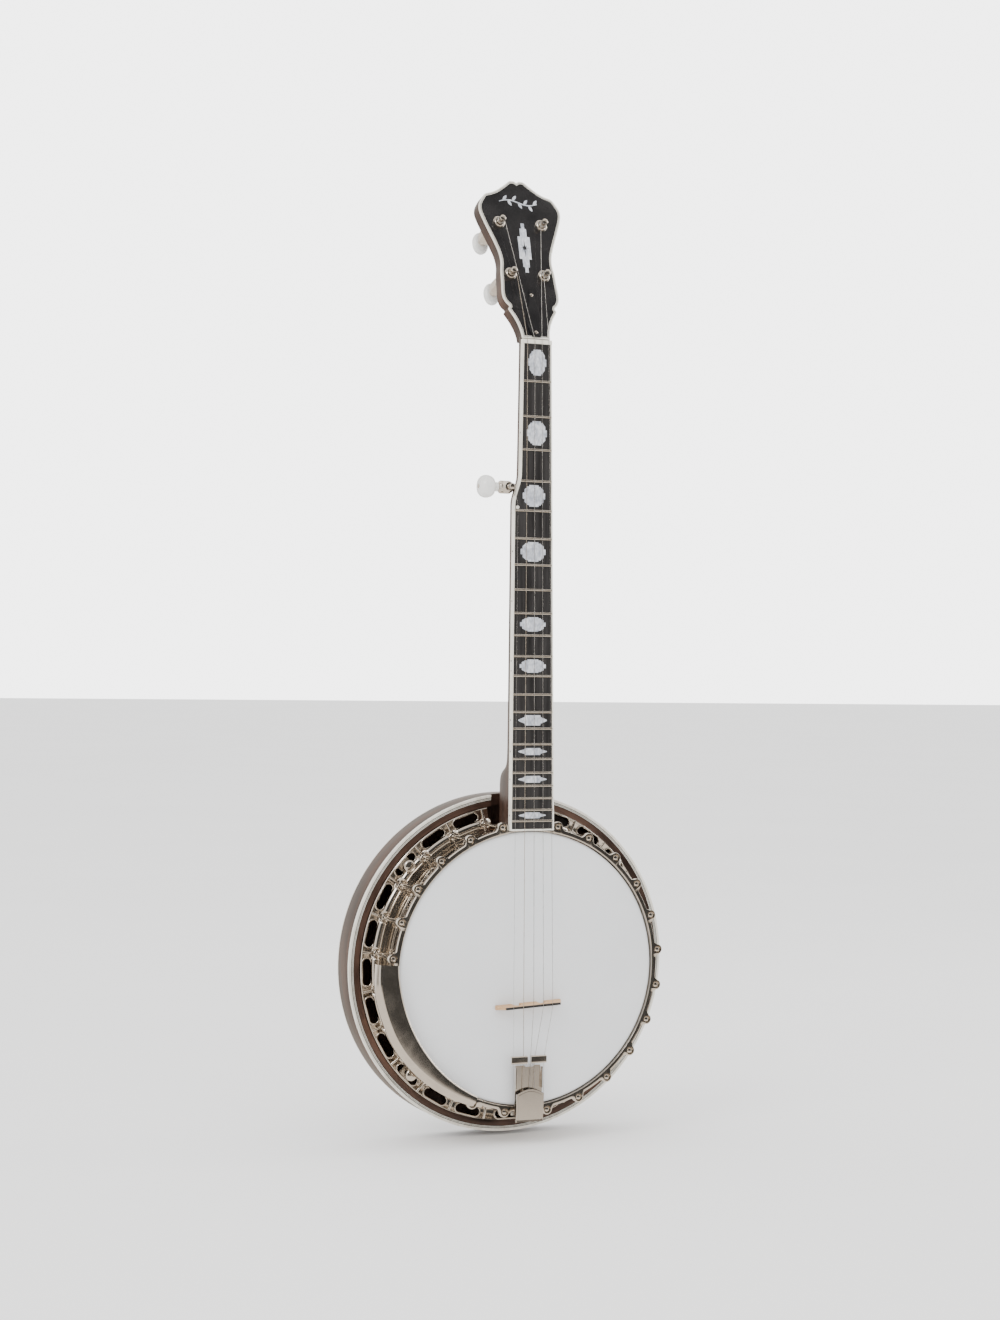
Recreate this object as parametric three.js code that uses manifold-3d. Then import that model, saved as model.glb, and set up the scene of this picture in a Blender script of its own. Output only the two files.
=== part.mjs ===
// Five-string resonator banjo, built as an assembly of its real pieces.
// Units are millimetres. Inside the banjo group the drum head's front face is the
// plane y = 0 with its centre at the origin, the neck runs up +Z and the player's
// view of the head looks along +Y. The whole group is then moved so that the point
// where a wall hanger holds the neck is the origin of the object.
import * as THREE from 'three';
import { mergeVertices } from 'three/addons/utils/BufferGeometryUtils.js';
import Module from 'manifold-3d';

const wasm = await Module();
wasm.setup();

// ---- driving dimensions -------------------------------------------------
const GAP = 0.3;
const SCALE_LENGTH = 666.75;
const FRET_COUNT = 22;
const NUT_Z = 630.9;
const BOARD_END_Z = 143;
const BOARD_TILT = 0.035;
const BOARD_Y_AT_END = -5.34;
const BOARD_THICKNESS = 5.2;
const BINDING_WIDTH = 1.6;
const FRET_HEIGHT = 0.8;
const PEGHEAD_ANGLE = THREE.MathUtils.degToRad(16.5);
const PEGHEAD_START_Z = 636.5;
const PEGHEAD_THICKNESS = 13;
const OVERLAY_THICKNESS = 1.6;
const HANGER_POINT = new THREE.Vector3(4, 24, 628);

const HEAD_RADIUS = 140.2;
const HOOP_INNER = 140.6;
const HOOP_OUTER = 145.5;
const HOOP_FRONT = -2.5;
const HOOP_BACK = 9.5;
const HOOK_CIRCLE = 148;
const RIM_OUTER = 139.4;
const RIM_INNER = 120.6;
const RIM_BACK = 70;
const FLANGE_FRONT = 46.2;
const FLANGE_BACK = 49.2;
const FLANGE_OUTER = 163.9;
const WALL_INNER = 164.3;
const RESONATOR_RADIUS = 175.9;
const RESONATOR_FRONT = 48.3;
const RESONATOR_EDGE = 85;
const RESONATOR_BACK = 97;
const RING_SEGMENTS = 40;

const BRIDGE_Z = -36.4;
const BRIDGE_HEIGHT = 16;
const STRING_RADIUS = 0.3;
const NUT_STRING_X = [-7.2, 0.9, 8.8, 16.4];
const BRIDGE_STRING_X = [-11, 0.2, 11, 21.4];
const TAIL_STRING_X = [-7.2, 0.7, 5.5, 15.9];
const FIFTH_PIP = { x: -17.2, z: 466.5 };
const FIFTH_POST = { x: -25.5, z: 487 };
const FIFTH_BRIDGE_X = -22;
const FIFTH_TAIL_X = -18;

// Hook angles in degrees, right side, measured from +X towards the neck.
const HOOK_ANGLES_RIGHT = [78, 63.6, 49.1, 34.7, 20.3, 5.9, -8.5, -23, -37.4, -51.8, -66.3, -80.7];
const HOOK_ANGLES = [...HOOK_ANGLES_RIGHT, ...HOOK_ANGLES_RIGHT.map((angle) => 180 - angle)];
const THUMBSCREW_ANGLES = [41.9, 138.1, -44.6, -135.4];
// Armrest plan: [angle in degrees, inner radius, radius where the top turns down, outer radius].
const ARMREST_PLAN = [
  [176, 145.5, 165, 168], [185, 143, 165, 168.6], [195, 141.3, 162.8, 166], [205, 140, 161, 164.6],
  [215, 139, 157, 161], [225, 138.8, 152.8, 157.5], [235, 138.8, 149.2, 153.8], [245, 138.8, 146.4, 149.5],
];

// Half outline of the peghead: [half width, distance up the face from the nut].
const PEGHEAD_HALF = [
  [15.6, 0], [15.2, 7], [16, 14], [18, 21], [21.5, 28.5], [26.8, 36.8], [24.2, 39.5], [28.6, 43.5],
  [31, 49], [31.2, 56], [30.2, 66], [29.7, 77], [28.2, 86], [28.3, 92], [29.6, 99], [33.5, 110],
  [39.5, 125], [43.6, 136], [45.4, 143], [44.6, 149], [40.5, 156], [37, 160.5], [29.5, 162.5],
  [23, 165.5], [14, 172], [7.5, 177.2], [2.5, 177], [0, 175.2],
];
const TUNER_SPOTS = [
  { x: -24, s: 129.5 },
  { x: 22.6, s: 129.5 },
  { x: -17.2, s: 74 },
  { x: 19.6, s: 74 },
];

// ---- materials ------------------------------------------------------------
function material(name, color, metalness, roughness) {
  const made = new THREE.MeshStandardMaterial({ color, metalness, roughness });
  made.name = name;
  return made;
}
const LOOKS = {
  mahogany: [0x5a3322, 0, 0.4],
  ebony: [0x17130f, 0, 0.45],
  ivoroid: [0xeee8d8, 0, 0.4],
  black_lacquer: [0x0b0b0c, 0, 0.25],
  nickel: [0xc8c2b6, 1, 0.18],
  steel: [0xb8b8ba, 1, 0.25],
  head_skin: [0xe6e8ea, 0, 0.6],
  maple: [0xd3a774, 0, 0.5],
  pearl_plastic: [0xe9e9e6, 0, 0.3],
};

// ---- mesh helpers -----------------------------------------------------------
function signedVolume(positions, index) {
  const a = new THREE.Vector3();
  const b = new THREE.Vector3();
  const c = new THREE.Vector3();
  let total = 0;
  for (let i = 0; i < index.length; i += 3) {
    a.fromArray(positions, index[i] * 3);
    b.fromArray(positions, index[i + 1] * 3);
    c.fromArray(positions, index[i + 2] * 3);
    total += a.dot(b.cross(c));
  }
  return total / 6;
}

// Joins equal corners, drops flat triangles and turns every face outwards.
function closed(geometry) {
  const bare = new THREE.BufferGeometry();
  bare.setAttribute('position', geometry.getAttribute('position').clone());
  if (geometry.index) {
    bare.setIndex(geometry.index.clone());
  }
  const merged = mergeVertices(bare, 1e-4);
  const source = merged.index.array;
  const index = [];
  for (let i = 0; i < source.length; i += 3) {
    const [a, b, c] = [source[i], source[i + 1], source[i + 2]];
    if (a !== b && b !== c && a !== c) {
      index.push(a, b, c);
    }
  }
  if (signedVolume(merged.attributes.position.array, index) < 0) {
    for (let i = 0; i < index.length; i += 3) {
      [index[i + 1], index[i + 2]] = [index[i + 2], index[i + 1]];
    }
  }
  merged.setIndex(index);
  return merged;
}

function toSolid(geometry) {
  const shape = closed(geometry);
  return new wasm.Manifold(new wasm.Mesh({
    numProp: 3,
    vertProperties: new Float32Array(shape.attributes.position.array),
    triVerts: new Uint32Array(shape.index.array),
  }));
}

function fromSolid(solid) {
  const mesh = solid.getMesh();
  const geometry = new THREE.BufferGeometry();
  geometry.setAttribute('position', new THREE.BufferAttribute(new Float32Array(mesh.vertProperties), 3));
  geometry.setIndex(new THREE.BufferAttribute(new Uint32Array(mesh.triVerts), 1));
  return geometry;
}

function joined(first, ...others) {
  return fromSolid(others.reduce((sum, other) => sum.add(toSolid(other)), toSolid(first)));
}

function cut(first, ...others) {
  return fromSolid(others.reduce((rest, other) => rest.subtract(toSolid(other)), toSolid(first)));
}

function revolve(profile, segments = RING_SEGMENTS) {
  return closed(new THREE.LatheGeometry(profile.map(([r, y]) => new THREE.Vector2(r, y)), segments));
}

// Ring whose cross-section is a closed polygon of [radius, y] corners.
function ring(profile, segments = RING_SEGMENTS) {
  return revolve([...profile, profile[0]], segments);
}

// Sweeps cross-sections of 2-D points; place(k, point) gives each corner in space.
function sweep(sections, place, loop = false) {
  const count = sections[0].length;
  const positions = [];
  const index = [];
  sections.forEach((section, k) => {
    section.forEach((point) => positions.push(...place(k, point).toArray()));
  });
  const last = loop ? sections.length : sections.length - 1;
  for (let k = 0; k < last; k += 1) {
    const next = (k + 1) % sections.length;
    for (let i = 0; i < count; i += 1) {
      const j = (i + 1) % count;
      const [a, b, c, d] = [k * count + i, k * count + j, next * count + j, next * count + i];
      index.push(a, b, c, a, c, d);
    }
  }
  if (!loop) {
    const toVectors = (section) => section.map(([u, v]) => new THREE.Vector2(u, v));
    const startFlip = THREE.ShapeUtils.area(toVectors(sections[0])) < 0;
    [0, sections.length - 1].forEach((k) => {
      const faces = THREE.ShapeUtils.triangulateShape(toVectors(sections[k]), []);
      faces.forEach(([a, b, c]) => {
        const order = (k === 0) !== startFlip ? [c, b, a] : [a, b, c];
        order.forEach((corner) => index.push(corner + k * count));
      });
    });
  }
  const geometry = new THREE.BufferGeometry();
  geometry.setAttribute('position', new THREE.Float32BufferAttribute(positions, 3));
  geometry.setIndex(index);
  return closed(geometry);
}

function box(x0, x1, y0, y1, z0, z1) {
  const geometry = new THREE.BoxGeometry(x1 - x0, y1 - y0, z1 - z0);
  geometry.translate((x0 + x1) / 2, (y0 + y1) / 2, (z0 + z1) / 2);
  return geometry;
}

// Turned piece along any axis: profile of [radius, distance] from start along direction.
function turned(start, direction, profile, segments = 12) {
  const geometry = revolve([[0, profile[0][1]], ...profile, [0, profile[profile.length - 1][1]]], segments);
  const turn = new THREE.Quaternion().setFromUnitVectors(new THREE.Vector3(0, 1, 0), direction);
  geometry.applyQuaternion(turn);
  geometry.translate(start.x, start.y, start.z);
  return geometry;
}

function rod(start, direction, radius, from, to, segments = 12) {
  return turned(start, direction, [[radius, from], [radius, to]], segments);
}

// Plain outline of [x, z] corners given a thickness along Y.
function plate(outline, y0, y1) {
  return sweep([outline, outline], (k, [x, z]) => new THREE.Vector3(x, k === 0 ? y0 : y1, z));
}

// Round wire through a list of points.
function wire(points, radius, sides = 5) {
  const circle = [];
  for (let i = 0; i < sides; i += 1) {
    const angle = (i / sides) * Math.PI * 2;
    circle.push([radius * Math.cos(angle), radius * Math.sin(angle)]);
  }
  const frames = [];
  let normal = new THREE.Vector3(1, 0, 0);
  points.forEach((point, k) => {
    const before = points[Math.max(k - 1, 0)];
    const after = points[Math.min(k + 1, points.length - 1)];
    const tangent = after.clone().sub(before).normalize();
    normal = normal.clone().addScaledVector(tangent, -normal.dot(tangent)).normalize();
    frames.push({ point, normal, side: tangent.clone().cross(normal) });
  });
  return sweep(points.map(() => circle), (k, [u, v]) => {
    const { point, normal: across, side } = frames[k];
    return point.clone().addScaledVector(across, u).addScaledVector(side, v);
  });
}

// ---- shared positions --------------------------------------------------------
const UP = new THREE.Vector3(0, 0, 1);
const BACK = new THREE.Vector3(0, 1, 0);
const FRONT = new THREE.Vector3(0, -1, 0);

function boardY(z) {
  return BOARD_Y_AT_END + BOARD_TILT * (z - BOARD_END_Z);
}

function fretZ(number) {
  return NUT_Z - SCALE_LENGTH * (1 - 2 ** (-number / 12));
}

function lerp(a, b, t) {
  return a + (b - a) * t;
}

// Dark edge of the fingerboard on the treble side.
function boardRight(z) {
  return lerp(22.7, 18.5, (z - BOARD_END_Z) / (NUT_Z - BOARD_END_Z));
}

// Dark edge on the bass side; it steps in above the fifth fret.
function boardLeft(z) {
  const wide = lerp(-22.5, -19.7, (z - BOARD_END_Z) / (fretZ(5) - BOARD_END_Z));
  const narrow = lerp(-12.5, -10.2, (z - 500) / (NUT_Z - 500));
  const t = THREE.MathUtils.smoothstep(z, 469, 500);
  return lerp(wide, narrow, t);
}

const STEP_STATIONS = [469, 476, 482, 488, 494, 500];
const BOARD_STATIONS = [BOARD_END_Z, 250, 360, ...STEP_STATIONS, 565, NUT_Z - GAP];

function onBoard(x, depth, z) {
  return new THREE.Vector3(x, boardY(z) + depth, z);
}

// Places a point of the peghead: x across, s up the face, height in front of the face.
const FACE_NORMAL = new THREE.Vector3(0, -Math.cos(PEGHEAD_ANGLE), Math.sin(PEGHEAD_ANGLE));
const FACE_UP = new THREE.Vector3(0, Math.sin(PEGHEAD_ANGLE), Math.cos(PEGHEAD_ANGLE));
const FACE_ORIGIN = new THREE.Vector3(0, boardY(NUT_Z) + 1.2, PEGHEAD_START_Z - 5.6);
function onFace(x, s, height) {
  return FACE_ORIGIN.clone().add(new THREE.Vector3(x, 0, 0))
    .addScaledVector(FACE_UP, s).addScaledVector(FACE_NORMAL, height);
}

function faceCentre(s) {
  return 4.4 - 0.023 * s;
}

// Moves every edge of an outline inwards by the same distance.
function insetOutline(outline, distance) {
  const count = outline.length;
  const area = THREE.ShapeUtils.area(outline.map(([u, v]) => new THREE.Vector2(u, v)));
  const inward = area > 0 ? 1 : -1;
  return outline.map(([x, y], i) => {
    const [px, py] = outline[(i + count - 1) % count];
    const [nx, ny] = outline[(i + 1) % count];
    const before = new THREE.Vector2(x - px, y - py).normalize();
    const after = new THREE.Vector2(nx - x, ny - y).normalize();
    const normal = new THREE.Vector2(-(before.y + after.y), before.x + after.x).normalize();
    const cosine = normal.x * -after.y + normal.y * after.x;
    const reach = (inward * distance) / Math.max(cosine, 0.5);
    return [x + normal.x * reach, y + normal.y * reach];
  });
}

function pegheadOutline(inset, fromS) {
  const right = PEGHEAD_HALF.filter(([, s]) => s >= fromS).map(([w, s]) => [faceCentre(s) + w, s]);
  const left = PEGHEAD_HALF.filter(([w, s]) => s >= fromS && w > 0).map(([w, s]) => [faceCentre(s) - w, s]);
  return insetOutline([...right, ...left.reverse()], inset);
}

function pegheadSlab(inset, fromS, front, back) {
  const outline = pegheadOutline(inset, fromS);
  return sweep([outline, outline], (k, [x, s]) => onFace(x, s, k === 0 ? front : back));
}

// Everything the neck must stay clear of at its joint with the drum.
function drumEnvelope() {
  return revolve([
    [0, -20], [HOOP_OUTER + 0.5, -20], [HOOP_OUTER + 0.5, HOOP_BACK + 0.5], [RIM_OUTER + 0.4, HOOP_BACK + 0.5],
    [RIM_OUTER + 0.4, FLANGE_FRONT - 0.4], [FLANGE_OUTER + 0.4, FLANGE_FRONT - 0.4],
    [FLANGE_OUTER + 0.4, FLANGE_BACK + 0.4], [RIM_OUTER + 0.4, FLANGE_BACK + 0.4], [RIM_OUTER + 0.4, 90], [0, 90],
  ], 96);
}

// ---- neck ----------------------------------------------------------------------
const NECK_STATIONS = [
  [136, 44.5], [165, 44.5], [187, 44.5], [194, 42.8], [199, 38], [202.5, 31], [206, 24], [212, 20], [225, 18.2],
  [300, 17.4], [360, 16.9], [430, 16.4], ...STEP_STATIONS.map((z) => [z, 16.1]), [540, 15.6], [600, 15.4],
  [628, 15.6], [640, 17],
];

function neckSection(z, depth) {
  const left = boardLeft(Math.min(z, NUT_Z)) - BINDING_WIDTH;
  const right = boardRight(Math.min(z, NUT_Z)) + BINDING_WIDTH;
  const centre = (left + right) / 2;
  const half = (right - left) / 2;
  const heel = THREE.MathUtils.smoothstep(depth, 20, 42);
  const power = lerp(0.85, 0.5, heel);
  const front = BOARD_THICKNESS + GAP;
  const section = [];
  for (let i = 0; i <= 10; i += 1) {
    const angle = (i / 10) * Math.PI;
    const across = Math.sign(Math.cos(angle)) * Math.abs(Math.cos(angle)) ** power;
    const pinch = 1 - heel * 0.2 * Math.sin(angle);
    section.push([centre + half * across * pinch, front + depth * Math.sin(angle) ** power]);
  }
  return section;
}

const trussX = (z) => lerp(0, 4.15, (z - BOARD_END_Z) / (NUT_Z - BOARD_END_Z));

function trussBar(grow) {
  const corners = [[-3 - grow, 5.8 - grow * 3], [3 + grow, 5.8 - grow * 3], [3 + grow, 13 + grow], [-3 - grow, 13 + grow]];
  const ends = [180 - grow, 641 + grow];
  return sweep(ends.map(() => corners), (k, [x, depth]) => onBoard(trussX(ends[k]) + x, depth, ends[k]));
}

function neck() {
  const sections = NECK_STATIONS.map(([z, depth]) => neckSection(z, depth));
  const shaft = sweep(sections, (k, [x, depth]) => onBoard(x, depth, NECK_STATIONS[k][0]));
  const peghead = pegheadSlab(0, 6, -OVERLAY_THICKNESS - GAP, -OVERLAY_THICKNESS - GAP - PEGHEAD_THICKNESS);
  const rods = [30, 60].map((y) => rod(new THREE.Vector3(0, y, 0), UP, 3.6, 100, 163));
  const tunerHoles = TUNER_SPOTS.map((spot) => rod(onFace(spot.x, spot.s, 0), FACE_NORMAL, 5.1, -40, 10));
  const fifthHole = rod(new THREE.Vector3(0, boardY(FIFTH_POST.z) + 13, FIFTH_POST.z), new THREE.Vector3(-1, 0, 0), 4.1, 6, 40);
  const nutSeat = box(-30, 40, -10, boardY(NUT_Z) + BOARD_THICKNESS + GAP, NUT_Z - GAP, NUT_Z + 5.4);
  return cut(joined(shaft, peghead), drumEnvelope(), ...rods, ...tunerHoles, fifthHole, nutSeat, trussBar(GAP));
}

function fingerboard() {
  const sections = BOARD_STATIONS.map((z) => [
    [boardLeft(z) + GAP, 0], [boardRight(z) - GAP, 0],
    [boardRight(z) - GAP, BOARD_THICKNESS], [boardLeft(z) + GAP, BOARD_THICKNESS],
  ]);
  const board = sweep(sections, (k, [x, depth]) => onBoard(x, depth, BOARD_STATIONS[k]));
  const frets = [];
  for (let number = 1; number <= FRET_COUNT; number += 1) {
    const z = fretZ(number);
    const profile = [[-1.1, 0.2], [1.1, 0.2], [0.7, -FRET_HEIGHT], [-0.7, -FRET_HEIGHT]];
    const ends = [boardLeft(z) + 0.6, boardRight(z) - 0.6];
    frets.push(sweep([profile, profile], (k, [dz, depth]) => onBoard(ends[k], depth, z + dz)));
  }
  return joined(board, ...frets);
}

function fingerboardBinding() {
  const outer = BOARD_STATIONS.map((z) => [boardLeft(z) - BINDING_WIDTH, boardRight(z) + BINDING_WIDTH, z]);
  outer[0][2] = BOARD_END_Z - BINDING_WIDTH;
  const slab = (rows, top, bottom) => sweep(
    rows.map(([left, right]) => [[left, top], [right, top], [right, bottom], [left, bottom]]),
    (k, [x, depth]) => onBoard(x, depth, rows[k][2]),
  );
  const inner = BOARD_STATIONS.map((z) => [boardLeft(z), boardRight(z), z]);
  inner[0][2] = BOARD_END_Z - GAP;
  inner[inner.length - 1][2] = NUT_Z + 3;
  return cut(slab(outer, 0.1, BOARD_THICKNESS), slab(inner, -2, BOARD_THICKNESS + 2));
}

function nut() {
  const left = boardLeft(NUT_Z) - BINDING_WIDTH;
  const right = boardRight(NUT_Z) + BINDING_WIDTH;
  const profile = [[NUT_Z, -0.9], [NUT_Z + 4.4, -0.3], [NUT_Z + 4.4, BOARD_THICKNESS - 0.1], [NUT_Z, BOARD_THICKNESS - 0.1]];
  const ends = [left, right];
  return sweep([profile, profile], (k, [z, depth]) => onBoard(ends[k], depth, z));
}

function fifthStringNut() {
  return turned(onBoard(FIFTH_PIP.x, 0, FIFTH_PIP.z), FRONT, [[1.5, GAP], [1.5, 0.8], [1.1, 1.1]], 10);
}

function pegheadOverlay() {
  const trussSlot = sweep([[[-4.5, -1], [4.5, -1], [4.5, 20], [-4.5, 20]], [[-4.5, -1], [4.5, -1], [4.5, 20], [-4.5, 20]]],
    (k, [x, s]) => onFace(4 + x, s, k === 0 ? 5 : -8));
  const holes = TUNER_SPOTS.map((spot) => rod(onFace(spot.x, spot.s, 0), FACE_NORMAL, 5.1, -10, 10));
  return cut(pegheadSlab(1.9, 6, 0, -OVERLAY_THICKNESS), trussSlot, ...holes);
}

function pegheadBinding() {
  return cut(pegheadSlab(0, 6, -0.1, -OVERLAY_THICKNESS), pegheadSlab(1.6, -5, 5, -10));
}

function trussRodCover() {
  const outline = [[-4.6, 7], [4.6, 7], [8, 16], [8.6, 24], [6, 36], [3, 50], [1.5, 57], [-1.5, 57], [-3, 50], [-6, 36],
    [-8.6, 24], [-8, 16]];
  const cover = sweep([outline, outline], (k, [x, s]) => onFace(faceCentre(s) + x, s, k === 0 ? 1.8 : GAP));
  const screws = [12, 52].map((s) => rod(onFace(faceCentre(s), s, 0), FACE_NORMAL, 1.5, 1.5, 2.4, 10));
  return joined(cover, ...screws);
}

// ---- tuning machines ---------------------------------------------------------------
function tunerHousing(spot) {
  const body = turned(onFace(spot.x, spot.s, 0), FACE_NORMAL, [
    [5.2, -38], [7.8, -36.5], [8.2, -28], [8.2, -21], [6.6, -19], [6.6, -15.3], [4.8, -15.3], [4.8, GAP],
    [6.4, GAP], [6.4, 1.6], [4.2, 2.6],
  ], 10);
  return cut(body, rod(onFace(spot.x, spot.s, 0), FACE_NORMAL, 3.3, -36, 10, 10));
}

function tunerPost(spot) {
  return turned(onFace(spot.x, spot.s, 0), FACE_NORMAL, [
    [3, -32], [3, 4], [2.8, 7.5], [3.2, 10], [3.2, 11.5], [2, 12.6],
  ], 8);
}

function tunerButton(spot) {
  const shaft = turned(onFace(spot.x, spot.s, 0), FACE_NORMAL, [
    [1.6, -55.2], [2.8, -54.2], [3, -46.5], [4.6, -44.8], [3.6, -43], [3, -38.6],
  ], 10);
  const oval = [];
  for (let i = 0; i < 12; i += 1) {
    const angle = (i / 12) * Math.PI * 2;
    oval.push([Math.cos(angle) * (8.2 + 0.9 * Math.sin(angle) ** 2), Math.sin(angle) * 11.6]);
  }
  const layers = [[0.8, -53.5], [1, -51.4], [1, -47.4], [0.8, -45.3]];
  const knob = sweep(layers.map(([grow]) => oval.map(([x, s]) => [x * grow, s * grow])),
    (k, [x, s]) => onFace(spot.x + x, spot.s + s, layers[k][1]));
  return joined(shaft, knob);
}

function fifthHousing() {
  const axis = new THREE.Vector3(-1, 0, 0);
  const centre = new THREE.Vector3(0, boardY(FIFTH_POST.z) + 13, FIFTH_POST.z);
  const barrel = turned(centre, axis, [[3.8, 8], [3.8, 19], [6.6, 19], [6.6, 31.5], [4.2, 33]], 14);
  const tower = rod(new THREE.Vector3(FIFTH_POST.x, centre.y, FIFTH_POST.z), FRONT, 4.6, -1, 11.5, 12);
  const bore = rod(new THREE.Vector3(FIFTH_POST.x, centre.y, FIFTH_POST.z), FRONT, 2.9, 1.5, 20, 12);
  const wormBore = rod(centre, axis, 1.9, 30, 40, 12);
  return cut(joined(barrel, tower), bore, wormBore);
}

function fifthPost() {
  const base = new THREE.Vector3(FIFTH_POST.x, boardY(FIFTH_POST.z) + 13, FIFTH_POST.z);
  return turned(base, FRONT, [[2.6, 2], [2.6, 14.5], [2.4, 17], [2.9, 19], [2.9, 20], [1.6, 21]], 10);
}

function fifthButton() {
  const axis = new THREE.Vector3(-1, 0, 0);
  const centre = new THREE.Vector3(0, boardY(FIFTH_POST.z) + 13, FIFTH_POST.z);
  return turned(centre, axis, [
    [1.6, 30.6], [1.6, 34], [4.5, 34.4], [5, 37], [9, 39.5], [11.5, 44], [11.5, 49], [9, 52.5], [4, 54], [2.6, 55],
  ], 12);
}

// ---- strings --------------------------------------------------------------------------
const STRING_BASE = boardY(NUT_Z) - 0.9 - STRING_RADIUS - 0.12;
const BRIDGE_STRING_Y = -BRIDGE_HEIGHT - STRING_RADIUS - 0.12;

function tailPoints(bridgeX, tailX) {
  return [
    new THREE.Vector3(tailX, -9.3, -128),
    new THREE.Vector3(tailX, -9.3, -95),
    new THREE.Vector3(tailX, -9.9, -88),
    new THREE.Vector3(bridgeX, BRIDGE_STRING_Y, BRIDGE_Z - 1.2),
    new THREE.Vector3(bridgeX, BRIDGE_STRING_Y, BRIDGE_Z + 1.2),
  ];
}

// Turns of string laid round a post, starting on the side that faces the nut.
function wraps(toPoint, side, startAngle, height, turns) {
  const points = [];
  const steps = Math.round(turns * 6);
  for (let i = 0; i <= steps; i += 1) {
    const angle = startAngle + side * (i / 6) * Math.PI * 2;
    points.push(toPoint(4.1 * Math.cos(angle), 4.1 * Math.sin(angle), height - (i / 6) * 0.75));
  }
  return points;
}

function headString(number) {
  const spot = [TUNER_SPOTS[2], TUNER_SPOTS[0], TUNER_SPOTS[1], TUNER_SPOTS[3]][number];
  const side = number < 2 ? 1 : -1;
  const toPoint = (dx, ds, height) => onFace(spot.x + dx, spot.s + ds, height);
  const startAngle = side > 0 ? 0 : Math.PI;
  return wire([
    ...tailPoints(BRIDGE_STRING_X[number], TAIL_STRING_X[number]),
    new THREE.Vector3(NUT_STRING_X[number], STRING_BASE, NUT_Z + 0.3),
    new THREE.Vector3(NUT_STRING_X[number], STRING_BASE + 0.5, NUT_Z + 4.6),
    ...wraps(toPoint, side, startAngle, 6.2, 2.25),
  ], STRING_RADIUS);
}

function fifthString() {
  const base = new THREE.Vector3(FIFTH_POST.x, boardY(FIFTH_POST.z) - 4.6, FIFTH_POST.z);
  const toPoint = (dx, dz, height) => new THREE.Vector3(base.x + dx, base.y + (4 - height), base.z + dz);
  const pipY = boardY(FIFTH_PIP.z) - 1.1 - STRING_RADIUS - 0.12;
  return wire([
    ...tailPoints(FIFTH_BRIDGE_X, FIFTH_TAIL_X),
    new THREE.Vector3(FIFTH_PIP.x, pipY, FIFTH_PIP.z - 0.8),
    new THREE.Vector3(FIFTH_PIP.x, pipY, FIFTH_PIP.z + 0.8),
    ...wraps(toPoint, 1, 0, 5.6, 2.25),
  ], STRING_RADIUS);
}

// ---- bridge ------------------------------------------------------------------------------
function bridgeLayer(outline, thickBack, thickFront) {
  const sections = [-1, 1].map(() => outline);
  const geometry = sweep(sections, (k, [x, height]) => {
    const half = lerp(thickBack, thickFront, height / BRIDGE_HEIGHT) / 2;
    return new THREE.Vector3(x, -height, (k === 0 ? -1 : 1) * half);
  });
  geometry.rotateY(THREE.MathUtils.degToRad(-3));
  geometry.translate(0.6, 0, BRIDGE_Z);
  return geometry;
}

function bridgeBase() {
  const foot = 0.15;
  return bridgeLayer([
    [-36, foot], [-27, foot], [-24, 4.5], [-17, 8], [-10, 7], [-5.5, foot], [5.5, foot], [10, 7], [17, 8],
    [24, 4.5], [27, foot], [36, foot], [35.5, 3], [31, 8], [30.2, 13.4], [-30.2, 13.4], [-31, 8], [-35.5, 3],
  ], 4.6, 2.2);
}

function bridgeTop() {
  return bridgeLayer([[-30.2, 13.6], [30.2, 13.6], [30.2, BRIDGE_HEIGHT], [-30.2, BRIDGE_HEIGHT]], 4.6, 2);
}

// ---- drum ------------------------------------------------------------------------------------
function head() {
  return revolve([
    [0, 0], [138.4, 0], [HEAD_RADIUS, 1.8], [HEAD_RADIUS, 8.5], [139.5, 8.5], [139.5, 2.2], [138.1, 0.7], [0, 0.7],
  ]);
}

function toneRing() {
  return ring([[129.5, 1], [137.6, 1], [139.2, 2.4], [139.2, 22], [136.1, 22], [136.1, 9], [127.6, 9], [127.6, 4]]);
}

function rim() {
  const wood = ring([[RIM_INNER, 9.3], [135.8, 9.3], [135.8, 22.3], [RIM_OUTER, 22.3], [RIM_OUTER, RIM_BACK],
    [RIM_INNER, RIM_BACK]]);
  const holes = [30, 60].map((y) => rod(new THREE.Vector3(0, y, 0), UP, 3.6, -160, 160));
  return cut(wood, ...holes);
}

function around(degrees, radius, y) {
  const angle = THREE.MathUtils.degToRad(degrees);
  return new THREE.Vector3(radius * Math.cos(angle), y, radius * Math.sin(angle));
}

// Rounded slot cutter lying along the ring at the given angle.
function slotCutter(degrees, radius, length, width, y0, y1) {
  const outline = [];
  const straight = (length - width) / 2;
  for (let i = 0; i < 8; i += 1) {
    const angle = (i / 8) * Math.PI * 2 + Math.PI / 8;
    outline.push([Math.sign(Math.cos(angle)) * straight + Math.cos(angle) * width / 2, Math.sin(angle) * width / 2]);
  }
  const centre = around(degrees, radius, 0);
  const radial = centre.clone().normalize();
  const along = new THREE.Vector3(-radial.z, 0, radial.x);
  return sweep([outline, outline], (k, [u, v]) => centre.clone()
    .addScaledVector(along, u).addScaledVector(radial, v).setY(k === 0 ? y0 : y1));
}

function slotAngles() {
  const sorted = HOOK_ANGLES.map((angle) => (angle + 360) % 360).sort((a, b) => a - b);
  const middles = [];
  sorted.forEach((angle, i) => {
    const next = i + 1 < sorted.length ? sorted[i + 1] : sorted[0] + 360;
    if (next - angle < 22) {
      middles.push((angle + next) / 2);
    }
  });
  return middles;
}

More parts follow.
